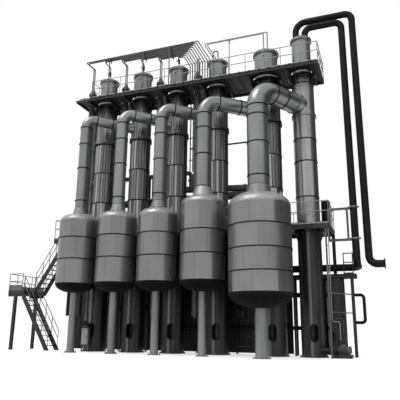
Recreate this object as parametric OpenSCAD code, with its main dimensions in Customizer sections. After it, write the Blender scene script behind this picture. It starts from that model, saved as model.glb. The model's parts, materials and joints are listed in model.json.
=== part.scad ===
// Five-effect falling-film vacuum concentrator with its condenser, separators, decks and stair.
// The columns stand in a row along X, the separators in front of them towards -Y, ground at Z = 0.

/* [Columns] */
// clear gap between the first three separators, which sets the spacing of the columns
separator_gap = 330; // [250:10:450]
// clear gap between the third and the fourth separator
fourth_gap = 315; // [250:5:450]
// clear gap between the fourth and the fifth separator
fifth_gap = 290; // [200:10:400]
// clear gap between the fifth column and the condenser
condenser_gap = 690; // [600:10:850]
// clad diameter of the first four columns
column_d = 1200; // [1100:10:1260]
// clad diameter of the fifth column
last_column_d = 1450; // [1350:10:1500]
// clad diameter of the condenser
condenser_d = 1170; // [1100:10:1220]
// clearance between a skirt hole's edge and the ground
access_hole_sill = 700; // [500:10:900]
// width of the access hole in each skirt
access_hole_w = 400; // [300:10:450]
// height of the access hole in each skirt
access_hole_h = 820; // [650:10:950]
// turn of the access holes from the front towards the condenser end, in degrees
access_turn = 12; // [0:1:20]
// wall of the skirts
skirt_wall = 20; // [12:1:40]
// how far the bands stand out from the cladding
band_out = 22; // [10:1:40]
// height of a cladding band
band_h = 45; // [30:1:80]
// how much narrower the heads above the deck are than the columns
neck_step = 150; // [100:10:200]
// height of the column heads' flange above the upper deck
head_rise = 1500; // [1400:10:1600]
// height of the condenser's head flange above the upper deck
condenser_rise = 1980; // [1900:10:2050]
// height of the dished lids of the heads
head_dome = 210; // [180:5:240]
// height of the condenser's dished lid
condenser_dome = 260; // [240:5:280]

/* [Separators] */
// clear gap from the middle deck's edge to the fourth separator
separator_clear = 170; // [140:5:300]
// clear gap from the middle deck's edge to the fifth separator
last_separator_clear = 320; // [250:10:450]
// diameter of the first three separators
separator_d = 2070; // [1950:10:2150]
// diameter of the fourth separator
fourth_separator_d = 2260; // [2150:10:2350]
// diameter of the fifth separator
last_separator_d = 2960; // [2850:10:3050]
// height of the separators' upper seam above the middle deck
separator_rise = 580; // [500:10:700]
// length of the first four separators between their seams
separator_l = 3360; // [3200:10:3500]
// length of the fifth separator between its seams
last_separator_l = 4030; // [3900:10:4200]
// wall of the separators with their lagging
separator_wall = 80; // [50:5:120]
// height of a top or bottom dish as a share of the radius
dish_share = 0.47; // [0.4:0.01:0.5]
// conical steps that the curve of a separator's dish is made of
dish_steps = 14; // [10:1:20]
// diameter of the drain legs
leg_d = 400; // [350:10:450]
// diameter of the fifth drain leg
last_leg_d = 590; // [500:10:650]

/* [Vapour ducts] */
// diameter of the first vapour duct
duct_d_1 = 600; // [550:10:640]
// diameter of the second vapour duct
duct_d_2 = 650; // [600:10:680]
// diameter of the third vapour duct
duct_d_3 = 690; // [640:10:720]
// diameter of the fourth vapour duct
duct_d_4 = 800; // [740:10:840]
// diameter of the fifth vapour duct
duct_d_5 = 1060; // [980:10:1100]
// how far the ducts' level run lies below the upper deck
duct_drop = 1880; // [1800:10:2000]
// fall of the level run towards the columns, in degrees
duct_fall = 2.5; // [0:0.5:4]
// diameter of the low crossings from the columns to the separators
crossing_d = 700; // [600:10:750]
// how far the low crossings lie below the middle deck
crossing_drop = 1700; // [1600:10:1800]
// gap left at every saddle and seam
seam_gap = 0.4; // [0.2:0.1:0.8]

/* [Upper deck] */
// height of the upper deck above the middle deck
deck_rise = 8600; // [8400:10:8800]
// how far the upper deck reaches beyond the first preheater
deck_lead = 160; // [120:10:300]
// how far the upper deck reaches beyond the condenser
deck_right = 1040; // [1000:10:1200]
// half the depth of the upper deck
deck_half = 1260; // [1200:10:1350]
// thickness of the deck plates
plate_t = 40; // [30:1:50]
// depth of the deck beams
beam_h = 200; // [160:10:240]
// depth of the light edge channel around the decks
edge_h = 110; // [90:5:140]
// width of the deck beams
beam_w = 80; // [60:5:100]
// height of the deck railings
rail_h = 1150; // [1000:10:1200]
// width of the rail tubes
rail_d = 48; // [38:1:60]
// height of the decks' toe boards
toe_h = 60; // [40:5:120]
// clear ring around the heads where they pass the deck
pass_gap = 90; // [70:5:120]

/* [Preheaters and small pipes] */
// diameter of the preheaters
preheater_d = 380; // [320:10:420]
// foot of the preheaters
preheater_low_z = 2000; // [1800:10:2400]
// height of the preheaters' flange above the upper deck
preheater_rise = 880; // [800:10:950]
// diameter of the small pipes
small_pipe_d = 64; // [50:2:70]
// height of the front pipe of the bundle above the upper deck
bundle_rise = 2760; // [2700:10:2850]
// straight run of the rear pipe of the bundle towards the front
bundle_lead = 32; // [20:2:60]
// step back from one pipe of the bundle to the next
bundle_back = 86; // [80:1:100]
// step down from one pipe of the bundle to the next
bundle_down = 55; // [40:1:60]
// bend radius of the small pipes
small_bend = 90; // [80:1:95]
// height of the front vent line above the upper deck
vent_rise = 3120; // [3050:10:3200]

/* [Cooling pipes] */
// diameter of the cooling-water pipes
cooling_d = 360; // [320:10:380]
// distance of the near cooling pipe beyond the condenser
cooling_near = 2230; // [2180:10:2300]
// clear gap between the two cooling pipes on their way down
cooling_gap = 210; // [150:10:300]
// clear gap between the two cooling pipes on the condenser's lid
cooling_apart = 130; // [90:10:150]
// height of the near cooling pipe's top run above the condenser's lid
cooling_rise = 491; // [450:1:560]
// clear gap between the two top runs
cooling_step = 50; // [30:5:80]
// height of the lower runs above the end platform
cooling_foot = 350; // [300:10:450]
// how far the end platform lies below the middle deck
end_drop = 2300; // [2200:10:2500]

/* [Middle deck] */
// top of the middle deck
mid_z = 6300; // [6200:10:6400]
// how far the middle deck reaches beyond the first column
mid_left = 2560; // [2500:10:2700]
// how far the middle deck reaches beyond the condenser
mid_right = 1120; // [1100:10:1250]
// clear gap between the fifth column and the middle deck's front beam
mid_lead = 145; // [120:5:200]
// rear edge of the middle deck, behind the columns
mid_back = 1600; // [1500:10:1800]
// size of the square posts
post_w = 160; // [120:5:200]

/* [Gear below the middle deck] */
// how far the rear wall's sheets lie in front of the middle deck's rear edge
wall_in = 100; // [80:5:120]
// clearance between the rear wall's sheets and the ground
wall_sill = 60; // [40:5:150]
// pitch of the rear wall's corrugated sheet
wall_pitch = 300; // [250:10:400]
// depth of the corrugation
wall_deep = 40; // [30:1:50]
// thickness of the rear wall's sheet
wall_t = 8; // [4:1:12]
// diameter of the upper rear pipe
rear_pipe_d = 240; // [200:10:280]
// diameter of the lower rear pipe
low_rear_pipe_d = 200; // [150:10:240]
// diameter of the receiver tank
receiver_d = 840; // [760:10:900]
// clear gap between the receiver tank and the end platform above it
receiver_gap = 120; // [80:10:200]
// diameter of the upright pipes in front of the rear wall
riser_d = 110; // [90:5:120]
// distance of the drop pipe from the middle deck's left edge
drop_pipe_in = 1260; // [1200:10:1320]
// diameter of the drop pipe
drop_pipe_d = 220; // [180:10:240]
// height of the drop pipe's lower end
drop_pipe_z = 1900; // [1600:50:2200]
// height of the upper end of the pipe loop on the end post
loop_z = 2950; // [2700:50:3100]
// drop of the lower rear pipe's axis below the end platform
low_rear_drop = 2650; // [2450:50:2800]
// height of the control box's underside
box_sill = 380; // [340:10:450]
// height of the control box
box_h = 850; // [700:10:900]

/* [Stair] */
// top of the landing
landing_z = 3350; // [3200:10:3500]
// width of a flight between its stringers
flight_w = 900; // [800:10:950]
// length of the landing along the row
landing_l = 1000; // [900:10:1200]
// steepness of the flights, in degrees
stair_slope = 57.5; // [52:0.5:62]
// risers of the lower flight
lower_risers = 12; // [11:1:14]
// risers of the upper flight
upper_risers = 11; // [10:1:13]
// thickness of the stringers
stringer_t = 40; // [20:1:50]
// depth of the stringers
stringer_h = 260; // [200:10:300]
// height of the stair railings
stair_rail_h = 1000; // [900:10:1100]
// height of the landing's kick plates
kick_h = 330; // [100:10:350]

/* [Hidden] */
$fn = 96;
eps = 1;
// places of the vent nozzles on the fourth and the fifth lid
vent_start = [[-250, 90], [-110, -90]];
vent_end = [[90, 90], [-90, -90]];

column_pitch = separator_d + separator_gap;
fourth_pitch = separator_d / 2 + fourth_separator_d / 2 + fourth_gap;
fifth_pitch = fourth_separator_d / 2 + last_separator_d / 2 + fifth_gap;
condenser_pitch = last_column_d / 2 + condenser_d / 2 + condenser_gap;
mid_front = last_column_d / 2 + beam_w + mid_lead;
separator_offset = mid_front + max(separator_d, fourth_separator_d) / 2 + separator_clear;
last_separator_offset = mid_front + last_separator_d / 2 + last_separator_clear;
separator_top_z = mid_z + separator_rise;
separator_low_z = separator_top_z - separator_l;
last_separator_low_z = separator_top_z - last_separator_l;
crossing_z = mid_z - crossing_drop;
deck_z = mid_z + deck_rise;
duct_z = deck_z - duct_drop;
head_flange_z = deck_z + head_rise;
condenser_flange_z = deck_z + condenser_rise;
preheater_flange_z = deck_z + preheater_rise;
bundle_z = deck_z + bundle_rise;
vent_z = deck_z + vent_rise;
cooling_far = cooling_near + cooling_d + cooling_gap;
cooling_split = cooling_d / 2 + cooling_apart / 2;
cooling_near_z = condenser_flange_z + 69 + condenser_dome + cooling_rise;
cooling_far_z = cooling_near_z + cooling_d + cooling_step;
end_z = mid_z - end_drop;
end_y1 = mid_back - post_w - seam_gap;
end_y0 = end_y1 - 680;
cooling_low_z = end_z + cooling_foot;
cooling_back = end_y1 - 270;

col_x = [
    0,
    column_pitch,
    2 * column_pitch,
    2 * column_pitch + fourth_pitch,
    2 * column_pitch + fourth_pitch + fifth_pitch,
    2 * column_pitch + fourth_pitch + fifth_pitch + condenser_pitch
];
col_d = [column_d, column_d, column_d, column_d, last_column_d, condenser_d];
sep_x = [col_x[0], col_x[1], col_x[2], col_x[3], col_x[4] + 110];
sep_y = [-separator_offset, -separator_offset, -separator_offset, -separator_offset,
    -last_separator_offset];
sep_d = [separator_d, separator_d, separator_d, fourth_separator_d, last_separator_d];
sep_low = [separator_low_z, separator_low_z, separator_low_z, separator_low_z, last_separator_low_z];
leg_ds = [leg_d, leg_d, leg_d, leg_d, last_leg_d];
duct_ds = [duct_d_1, duct_d_2, duct_d_3, duct_d_4, duct_d_5];
pre_x = [
    col_x[0] - column_pitch / 2,
    (col_x[0] + col_x[1]) / 2,
    (col_x[1] + col_x[2]) / 2,
    (col_x[2] + col_x[3]) / 2
];

ring_out = 160;
ring_t = 60;
skirt_top = mid_z - plate_t - beam_h;
shell_top = deck_z - plate_t - beam_h;
deck_x0 = pre_x[0] - preheater_d / 2 - deck_lead;
deck_x1 = col_x[5] + deck_right;
mid_x0 = -mid_left;
mid_x1 = col_x[5] + mid_right;
upper_run = (mid_z - landing_z) / tan(stair_slope);
lower_run = landing_z / tan(stair_slope);
landing_x1 = mid_x0 - upper_run;
landing_x0 = landing_x1 - landing_l;
stringer_lip = 60;
flight_step = flight_w + 2 * stringer_t + 40;
landing_y0 = -flight_step;
landing_y1 = flight_step;
cooling_stub = 340;
cooling_end_x = col_x[5] + cooling_far + cooling_d + 20 + cooling_stub;
half_rail = rail_d / 2;

// middle of the plan, so that the object stands centred over the origin
mid_plan_x = (landing_x0 + cooling_end_x) / 2;
mid_plan_y = (sep_y[4] - sep_d[4] / 2 - band_out + mid_back) / 2;

// heights of the column flanges and of the bands, as shares of the lengths they divide
column_flange_z = duct_z - 790;
condenser_joint_z = duct_z - 690;
column_bands = [for (u = [0.357, 0.668]) mid_z + u * (column_flange_z - mid_z)];
condenser_bands = concat(
    [for (u = [0.251, 0.568, 0.772]) mid_z + u * (condenser_joint_z - mid_z)],
    [duct_z + duct_d_5 / 2 + 600]
);
low_bands = [for (u = [0.375, 0.717]) separator_low_z + u * separator_l];
last_bands = [for (u = [0.228, 0.484, 0.752]) last_separator_low_z + u * last_separator_l];
sep_bands = [low_bands, low_bands, low_bands, low_bands, last_bands];
duct_bands = [for (u = [0.199, 0.508, 0.744]) separator_top_z + u * (duct_z - separator_top_z)];
last_duct_bands = [for (u = [0.244, 0.52, 0.754]) separator_top_z + u * (duct_z - separator_top_z)];
header_z = column_bands[0] + 180;

steel = [0.72, 0.73, 0.73];
dark = [0.25, 0.25, 0.26];
black = [0.10, 0.10, 0.10];
grey = [0.55, 0.56, 0.56];

module plan() {
    translate([-mid_plan_x, -mid_plan_y, 0]) children();
}

module ring(d, z, h) {
    translate([0, 0, z]) cylinder(d = d, h = h);
}

// radius of the sphere that a dish of radius r and height h is cut from
function dish_r(r, h) = (r * r + h * h) / (2 * h);

// spherical dish of radius r and height h standing on z = 0
module dish(r, h) {
    big = dish_r(r, h);
    rotate_extrude() intersection() {
        translate([0, h - big]) circle(r = big, $fn = 720);
        square([r, h + eps]);
    }
}

// outline of a dish whose section is half an ellipse
function oval(r, h) = [for (i = [0 : dish_steps]) i == dish_steps ? [0, h] :
    [r * cos(90 * i / dish_steps), h * sin(90 * i / dish_steps)]];

// oval dish of radius r and height h standing on z = 0, round at its rim
module oval_dish(r, h) {
    rotate_extrude() polygon(concat([[0, 0]], oval(r, h)));
}

// core of a sphere of radius big out to rho, from its middle to its top
module core(big, rho) {
    rotate_extrude() intersection() {
        circle(r = big, $fn = 720);
        square([rho, big + eps]);
    }
}

// elbow of a pipe that comes up along Z and turns by a degrees towards +X
module elbow(d, r, a) {
    translate([r, 0, 0]) rotate([90, 0, 0]) rotate([0, 0, 180 - a])
        rotate_extrude(angle = a, $fn = 64) translate([r, 0]) circle(d = d, $fn = 32);
}

// pipe along Z in steps of [length, turn towards +X, bend radius, roll after the turn]
module bent(d, steps, k = 0) {
    l = steps[k][0];
    a = steps[k][1];
    r = steps[k][2];
    cylinder(d = d, h = l, $fn = 32);
    if (k > 0) translate([0, 0, -15]) cylinder(d = d + 12, h = 30, $fn = 32);
    if (k < len(steps) - 1) {
        translate([0, 0, l]) {
            translate([0, 0, -15]) cylinder(d = d + 12, h = 30, $fn = 32);
            elbow(d, r, a);
            translate([r - r * cos(a), 0, r * sin(a)]) rotate([0, a, 0]) rotate([0, 0, steps[k][3]])
                bent(d, steps, k + 1);
        }
    }
}

// box between two corners
module block(a, b) {
    translate(a) cube(b - a);
}

module gussets(d, z, n) {
    for (i = [0 : n - 1]) {
        rotate([0, 0, (i + 0.5) * 360 / n]) translate([d / 2 - 10, 0, z]) rotate([90, 0, 0])
            linear_extrude(height = 20, center = true)
                polygon([[0, 0], [ring_out + 5, 0], [ring_out + 5, -60], [20, -420], [0, -420]]);
    }
}

// Skirts

module skirt(i) {
    d = col_d[i];
    plan() translate([col_x[i], 0, 0]) difference() {
        union() {
            cylinder(d = d, h = skirt_top);
            ring(d + 2 * ring_out, skirt_top - ring_t, ring_t);
            ring(d + 180, 0, 40);
            gussets(d, skirt_top - ring_t, 8);
        }
        translate([0, 0, -eps]) cylinder(d = d - 2 * skirt_wall, h = skirt_top + 2 * eps);
        rotate([0, 0, access_turn - 90]) {
            access_cut(d);
            skirt_seams(d);
        }
    }
}

// seams between the plates of a skirt: a lower and an upper drum, and curved plates beside the hole
module skirt_seams(d) {
    r = access_hole_w / 2 + 30;
    z0 = access_hole_sill + r;
    z1 = access_hole_sill + access_hole_h - r;
    half = asin(access_hole_w / d);
    for (z = [z0, z1]) translate([0, 0, z]) cylinder(d = d + 60, h = seam_gap);
    for (k = [1 : 5]) rotate([0, 0, half + k * (360 - 2 * half) / 6])
        translate([d / 2 - skirt_wall - 40, -seam_gap / 2, z0 - 2])
            cube([skirt_wall + 80, seam_gap, z1 - z0 + 4]);
}

module access_cut(d) {
    r = access_hole_w / 2;
    z0 = access_hole_sill + r;
    z1 = access_hole_sill + access_hole_h - r;
    translate([0, 0, z0]) rotate([0, 90, 0]) cylinder(r = r, h = d);
    translate([0, 0, z1]) rotate([0, 90, 0]) cylinder(r = r, h = d);
    translate([0, -r, z0]) cube([d, access_hole_w, z1 - z0]);
}

// Columns

module column_shell(i, bands, flange_z) {
    d = col_d[i];
    plan() translate([col_x[i], 0, 0]) {
        ring(d, skirt_top, shell_top - skirt_top);
        for (z = bands) ring(d + 2 * band_out, z - band_h / 2, band_h);
        ring(d + 130, flange_z - 55, 50);
        ring(d + 130, flange_z + 5, 50);
        ring(d + 2 * ring_out, shell_top - ring_t, ring_t);
        gussets(d, shell_top - ring_t, 8);
    }
}

module column_head(i, flange_z, dome, nozzles, stub) {
    d = col_d[i] - neck_step;
    plan() translate([col_x[i], 0, 0]) {
        for (n = nozzles) {
            translate([n[0], n[1], flange_z + 60]) cylinder(d = 110, h = dome + 30);
            translate([n[0], n[1], flange_z + 69 + dome]) cylinder(d = 150, h = 40);
        }
        if (stub) translate([0, -d / 2 + 30, flange_z - 300]) rotate([90, 0, 0]) cylinder(d = 90, h = 110);
        ring(d, shell_top, flange_z - shell_top);
        ring(d + 170, flange_z - 60, 60);
        ring(d + 170, flange_z + 10, 60);
        ring(d, flange_z - eps, 12);
        translate([0, 0, flange_z + 69]) dish(d / 2 + 20, dome);
    }
}

module column_heads() {
    for (i = [0 : 2]) column_head(i, head_flange_z, head_dome, [[0, 0]], i > 0);
    column_head(3, head_flange_z, head_dome, vent_start, false);
    column_head(4, head_flange_z, head_dome, vent_end, true);
}

// Separators

module separator_shell(i) {
    d = sep_d[i];
    plan() translate([sep_x[i], sep_y[i], 0]) difference() {
        union() {
            ring(d, sep_low[i], separator_top_z - sep_low[i]);
            for (z = sep_bands[i]) ring(d + 2 * band_out, z - band_h / 2, band_h);
        }
        ring(d - 2 * separator_wall, sep_low[i] - eps, separator_top_z - sep_low[i] + 2 * eps);
    }
}

module separator_dish(i) {
    r = sep_d[i] / 2;
    h = r * dish_share;
    difference() {
        oval_dish(r, h);
        translate([0, 0, -eps]) oval_dish(r - separator_wall, h - separator_wall);
    }
}

module separator_tops() {
    plan() for (i = [0 : 4]) {
        translate([sep_x[i], sep_y[i], separator_top_z]) difference() {
            separator_dish(i);
            translate([0, 0, -eps]) cylinder(d = duct_ds[i] - 2 * separator_wall, h = sep_d[i]);
        }
    }
}

module separator_bottoms() {
    plan() for (i = [0 : 4]) {
        translate([sep_x[i], sep_y[i], sep_low[i]]) mirror([0, 0, 1]) separator_dish(i);
    }
}

module drain_legs() {
    plan() for (i = [0 : 4]) {
        r = sep_d[i] / 2;
        h = r * dish_share;
        translate([sep_x[i], sep_y[i], 0]) {
            difference() {
                cylinder(d = leg_ds[i], h = sep_low[i] - h + 120);
                translate([0, 0, sep_low[i]]) mirror([0, 0, 1]) oval_dish(r + seam_gap, h + seam_gap);
            }
            cylinder(d = leg_ds[i] + 240, h = 30);
        }
    }
}

// Vapour ducts

module vapour_duct(i, bands, seam) {
    d = duct_ds[i];
    bend = d * 0.95;
    dx = col_x[i + 1] - sep_x[i];
    dy = -sep_y[i];
    far = norm([dx, dy]);
    r = sep_d[i] / 2;
    h = r * dish_share;
    foot = separator_top_z + 20;
    z0 = duct_z - bend;
    run = far - bend;
    $fn = 192;
    plan() translate([sep_x[i], sep_y[i], 0]) rotate([0, 0, atan2(dy, dx)]) difference() {
        union() {
            ring(d, foot, z0 - foot);
            translate([0, 0, foot]) cylinder(d1 = d + 420, d2 = d, h = h + 330);
            for (z = bands) ring(d + 2 * band_out, z - band_h / 2, band_h);
            ring(d + 2 * band_out, z0 - band_h / 2, band_h);
            translate([bend, 0, z0]) rotate([90, 0, 0]) rotate([0, 0, 90 - duct_fall])
                rotate_extrude(angle = 90 + duct_fall) translate([bend, 0]) circle(d = d);
            translate([bend * (1 + sin(duct_fall)), 0, z0 + bend * cos(duct_fall)])
                rotate([0, 90 + duct_fall, 0]) {
                cylinder(d = d, h = run);
                translate([0, 0, -20]) cylinder(d = d + 2 * band_out, h = band_h);
                translate([0, 0, seam]) cylinder(d = d + 2 * band_out, h = band_h);
                translate([0, 0, run - col_d[i + 1] / 2 - 240]) cylinder(d = d + 70, h = 50);
                translate([0, 0, run - col_d[i + 1] / 2 - 190 - eps])
                    cylinder(d1 = d, d2 = d + 70, h = 250);
            }
        }
        translate([far, 0, 0]) cylinder(d = col_d[i + 1] + 2 * seam_gap, h = deck_z);
        translate([0, 0, separator_top_z]) oval_dish(r + seam_gap, h + seam_gap);
        translate([0, 0, separator_top_z - eps]) cylinder(d = d - 2 * separator_wall, h = h + 200);
    }
}

module low_crossings() {
    $fn = 288;
    plan() for (i = [0 : 4]) {
        dx = sep_x[i] - col_x[i];
        far = norm([dx, sep_y[i]]);
        translate([col_x[i], 0, crossing_z]) rotate([0, 0, atan2(sep_y[i], dx)]) difference() {
            rotate([0, 90, 0]) cylinder(d = crossing_d, h = far);
            translate([0, 0, -crossing_d]) cylinder(d = col_d[i] + 2 * seam_gap, h = 2 * crossing_d);
            translate([far, 0, -crossing_d]) cylinder(d = sep_d[i] + 2 * seam_gap, h = 2 * crossing_d);
            for (z = sep_bands[i]) translate([far, 0, z - crossing_z - band_h / 2 - seam_gap])
                cylinder(d = sep_d[i] + 2 * band_out + 2 * seam_gap, h = band_h + 2 * seam_gap);
        }
    }
}

// Preheaters

module preheaters() {
    plan() for (x = pre_x) {
        translate([x, 0, 0]) {
            ring(preheater_d, preheater_low_z, preheater_flange_z - preheater_low_z);
            ring(preheater_d + 130, preheater_flange_z - 60, 60);
            ring(preheater_d + 130, preheater_flange_z + 8, 60);
            ring(preheater_d, preheater_flange_z - eps, 12);
            translate([0, 0, preheater_flange_z + 67]) cylinder(d1 = preheater_d, d2 = 200, h = 300);
            translate([0, 0, preheater_low_z - 180]) cylinder(d1 = 160, d2 = preheater_d, h = 181);
            ring(preheater_d + 130, mid_z, 40);
        }
    }
}

// Upper deck

module upper_deck_plate() {
    plan() difference() {
        block([deck_x0, -deck_half, deck_z - plate_t], [deck_x1, deck_half, deck_z]);
        for (i = [0 : 5]) {
            translate([col_x[i], 0, deck_z - 2 * plate_t])
                cylinder(d = col_d[i] - neck_step + 2 * pass_gap, h = 3 * plate_t);
        }
        for (x = pre_x) translate([x, 0, deck_z - 2 * plate_t])
            cylinder(d = preheater_d + 60, h = 3 * plate_t);
    }
}

module deck_grid(x0, x1, y0, y1, z1, xs, edge) {
    z0 = z1 - beam_h;
    ze = z1 - edge;
    block([x0, y0, ze], [x1, y0 + beam_w, z1]);
    block([x0, y1 - beam_w, ze], [x1, y1, z1]);
    block([x0, y0, ze], [x0 + beam_w, y1, z1]);
    block([x1 - beam_w, y0, ze], [x1, y1, z1]);
    for (x = xs) block([x - beam_w / 2, y0 + beam_w - eps, z0], [x + beam_w / 2, y1 - beam_w + eps, z1]);
}

// a beam on each side of every column, on the column's ring
grid_xs = [for (i = [0 : 5]) for (s = [-1, 1]) col_x[i] + s * (col_d[i] / 2 + beam_w / 2 + 15)];

module upper_deck_frame() {
    plan() deck_grid(deck_x0, deck_x1, -deck_half, deck_half, deck_z - plate_t, grid_xs, edge_h);
}

// railing panel along X: posts, top rail, middle rail and toe board of height toe, in one plane
module rail_panel(l, h, bays, toe) {
    rotate([90, 0, 0]) linear_extrude(height = rail_d, center = true) {
        for (i = [0 : bays]) translate([i * (l - rail_d) / bays, 0]) square([rail_d, h]);
        for (z = [h - rail_d, h * 0.52]) translate([0, z]) square([l, rail_d]);
    }
    block([0, -6, 0], [l, 6, toe]);
}

module upper_deck_rails() {
    lx = deck_x1 - deck_x0;
    ly = 2 * deck_half - 4 * rail_d;
    plan() {
        translate([deck_x0, -deck_half + half_rail, deck_z]) rail_panel(lx, rail_h, 15, toe_h);
        translate([deck_x0, deck_half - half_rail, deck_z]) rail_panel(lx, rail_h, 15, toe_h);
        translate([deck_x0 + half_rail, -ly / 2, deck_z]) rotate([0, 0, 90])
            rail_panel(ly, rail_h, 3, toe_h);
        translate([deck_x1 - half_rail, -ly / 2, deck_z]) rotate([0, 0, 90])
            rail_panel(ly, rail_h, 3, toe_h);
    }
}

// Small pipes over the deck

pot_top = preheater_flange_z + 367;
lid_top = head_flange_z + 109 + head_dome;
// where each pipe of the bundle comes up: two over a preheater, one over the next head
bundle_x = [
    pre_x[0] - 50, pre_x[0] + 50, col_x[0],
    pre_x[1] - 50, pre_x[1] + 50, col_x[1],
    pre_x[2] - 50, pre_x[2] + 50, col_x[2]
];
bundle_foot = [pot_top, pot_top, lid_top, pot_top, pot_top, lid_top, pot_top, pot_top, lid_top];
bundle_n = len(bundle_x);
fan_x = (col_x[2] + col_x[3]) / 2 - 870;
bundle_front = 2 * small_bend + bundle_lead + (bundle_n - 1) * bundle_back;

module pipe_bundle() {
    r = small_bend;
    plan() for (k = [0 : bundle_n - 1]) {
        y = bundle_front - k * bundle_back;
        z = bundle_z - k * bundle_down;
        foot = bundle_foot[k] + seam_gap;
        slant = 1500 - 95 * k;
        x1 = fan_x + (bundle_n - 1 - k) * 142;
        drop = z - deck_z - seam_gap - r - slant * sin(61);
        translate([bundle_x[k], 0, foot]) rotate([0, 0, -90])
            bent(small_pipe_d, [
                [z - r - foot, 90, r, 90],
                [y - 2 * r, 90, r, -90],
                [x1 - bundle_x[k] - r, 61, r, 0],
                [slant, 29, r, 0],
                [drop, 0, 0, 0]
            ]);
    }
}

// racks that the bundle lies on: a post and a bar along the slant of the pipes, cut from one plane
module bundle_supports() {
    tilt = atan2(bundle_down, bundle_back);
    under = (small_pipe_d / 2 + seam_gap) / cos(tilt);
    plan() for (x = [col_x[0] + 460, col_x[1] + 400, col_x[2] - 260]) {
        k0 = x > bundle_x[7] ? 7 : x > bundle_x[5] ? 5 : 2;
        y0 = -bundle_front - 40;
        y1 = -bundle_front + k0 * bundle_back + 60;
        z0 = bundle_z + 40 * tan(tilt) - under;
        z1 = z0 - (y1 - y0) * tan(tilt);
        translate([x - 25, 0, 0]) rotate([90, 0, 90]) linear_extrude(height = 50)
            polygon([[y0, deck_z], [y0 + 50, deck_z], [y0 + 50, z0 - 50 * tan(tilt) - 60], [y1, z1 - 60],
                [y1, z1], [y0, z0]]);
    }
}

// pipes of the fourth preheater and the vent lines between the last two heads
module vent_lines() {
    r = small_bend;
    a = 29;
    b = 90 + a;
    z0 = lid_top + seam_gap;
    plan() {
        for (s = [0, 1]) {
            x0 = col_x[3] + vent_start[s][0];
            x9 = col_x[4] + vent_end[s][0];
            z = vent_z - s * 170;
            up = r * (sin(b) * cos(a) + (1 - cos(b)) * sin(a));
            on = r * ((1 - cos(b)) * cos(a) - sin(b) * sin(a));
            slant = (z - up - z0 - 100 - r * sin(a)) / cos(a);
            x1 = x0 - r * (1 - cos(a)) - slant * sin(a) + on;
            translate([x0, vent_start[s][1], z0]) rotate([0, 0, 180])
                bent(small_pipe_d, [
                    [100, a, r, 180],
                    [slant, b, r, 0],
                    [x9 - r - x1, 90, r, 0],
                    [z - r - lid_top - seam_gap, 0, 0, 0]
                ]);
        }
        for (s = [-1, 1]) translate([pre_x[3] + 50 * s, 0, pot_top + seam_gap])
            cylinder(d = small_pipe_d, h = 900, $fn = 32);
    }
}

// Cooling pipes

// cuts a pipe's lower end to the condenser's lid
module lid_cut() {
    r = (condenser_d - neck_step) / 2 + 20;
    big = dish_r(r, condenser_dome);
    translate([col_x[5], 0, condenser_flange_z + 69 + condenser_dome - big]) core(big + seam_gap, r + 1);
}

module cooling_supply() {
    d = cooling_d;
    r = d + 20;
    z0 = condenser_flange_z + 100;
    plan() difference() {
        translate([col_x[5] + cooling_split, 0, z0]) bent(d, [
            [cooling_near_z - r - z0, 90, r, 0],
            [cooling_near - cooling_split - 2 * r, 90, r, 90],
            [cooling_near_z - cooling_low_z - 2 * r, 90, r, -90],
            [cooling_back - 2 * r, 90, r, 0],
            [cooling_near - r + condenser_pitch - last_column_d / 2, 0, 0, 0]
        ]);
        lid_cut();
    }
}

module cooling_return() {
    d = cooling_d;
    r = d + 20;
    z0 = condenser_flange_z + 100;
    plan() difference() {
        union() {
            translate([col_x[5] - cooling_split, 0, z0]) bent(d, [
                [cooling_far_z - 1.5 * r - z0, 90, 1.5 * r, 0],
                [cooling_far + cooling_split - 2.5 * r, 90, r, 180],
                [cooling_far_z - cooling_low_z - 2 * r, 90, r, 0],
                [cooling_stub, 0, 0, 0]
            ]);
            translate([cooling_end_x - 40, 0, cooling_low_z]) rotate([0, 90, 0])
                cylinder(d = d + 130, h = 40);
        }
        lid_cut();
        translate([cooling_end_x - 300, 0, cooling_low_z]) rotate([0, 90, 0]) cylinder(d = d - 40, h = 310);
    }
}

// Pipes and gear behind and below

header_y = last_column_d / 2 + 270;

module header_pipe() {
    $fn = 192;
    plan() difference() {
        union() {
            translate([col_x[0] - 300, header_y, header_z]) rotate([0, 90, 0])
                cylinder(d = 450, h = col_x[4] - col_x[0] + 600);
            for (i = [0 : 4]) block([col_x[i] - 60, 0, header_z - 60],
                [col_x[i] + 60, header_y, header_z + 60]);
        }
        for (i = [0 : 4]) translate([col_x[i], 0, header_z - 600])
            cylinder(d = col_d[i] + 2 * seam_gap, h = 1200);
    }
}

module low_pipes() {
    x = mid_x0 + drop_pipe_in;
    plan() {
        translate([x, -mid_front + drop_pipe_d / 2, drop_pipe_z])
            cylinder(d = drop_pipe_d, h = skirt_top - drop_pipe_z - seam_gap);
        translate([end_post_x + 60 + seam_gap, end_y0 + 60, loop_z]) rotate([0, 90, 0])
            bent(150, [[300, 90, 160, 0], [1000, 90, 160, 0], [300, 0, 0, 0]]);
        difference() {
            union() {
                rear_pipe(rear_pipe_d, rear_z);
                rear_pipe(low_rear_pipe_d, low_rear_z);
            }
            translate([receiver_x, receiver_y, 0])
                cylinder(d = receiver_d + 2 * seam_gap, h = end_z, $fn = 288);
        }
    }
}

// pipe along the rear wall, with a collar at each end
module rear_pipe(d, z) {
    translate([rear_x0, rear_y, z]) rotate([0, 90, 0]) {
        cylinder(d = d, h = receiver_x - rear_x0, $fn = 192);
        cylinder(d = d + 110, h = 40);
    }
}

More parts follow.
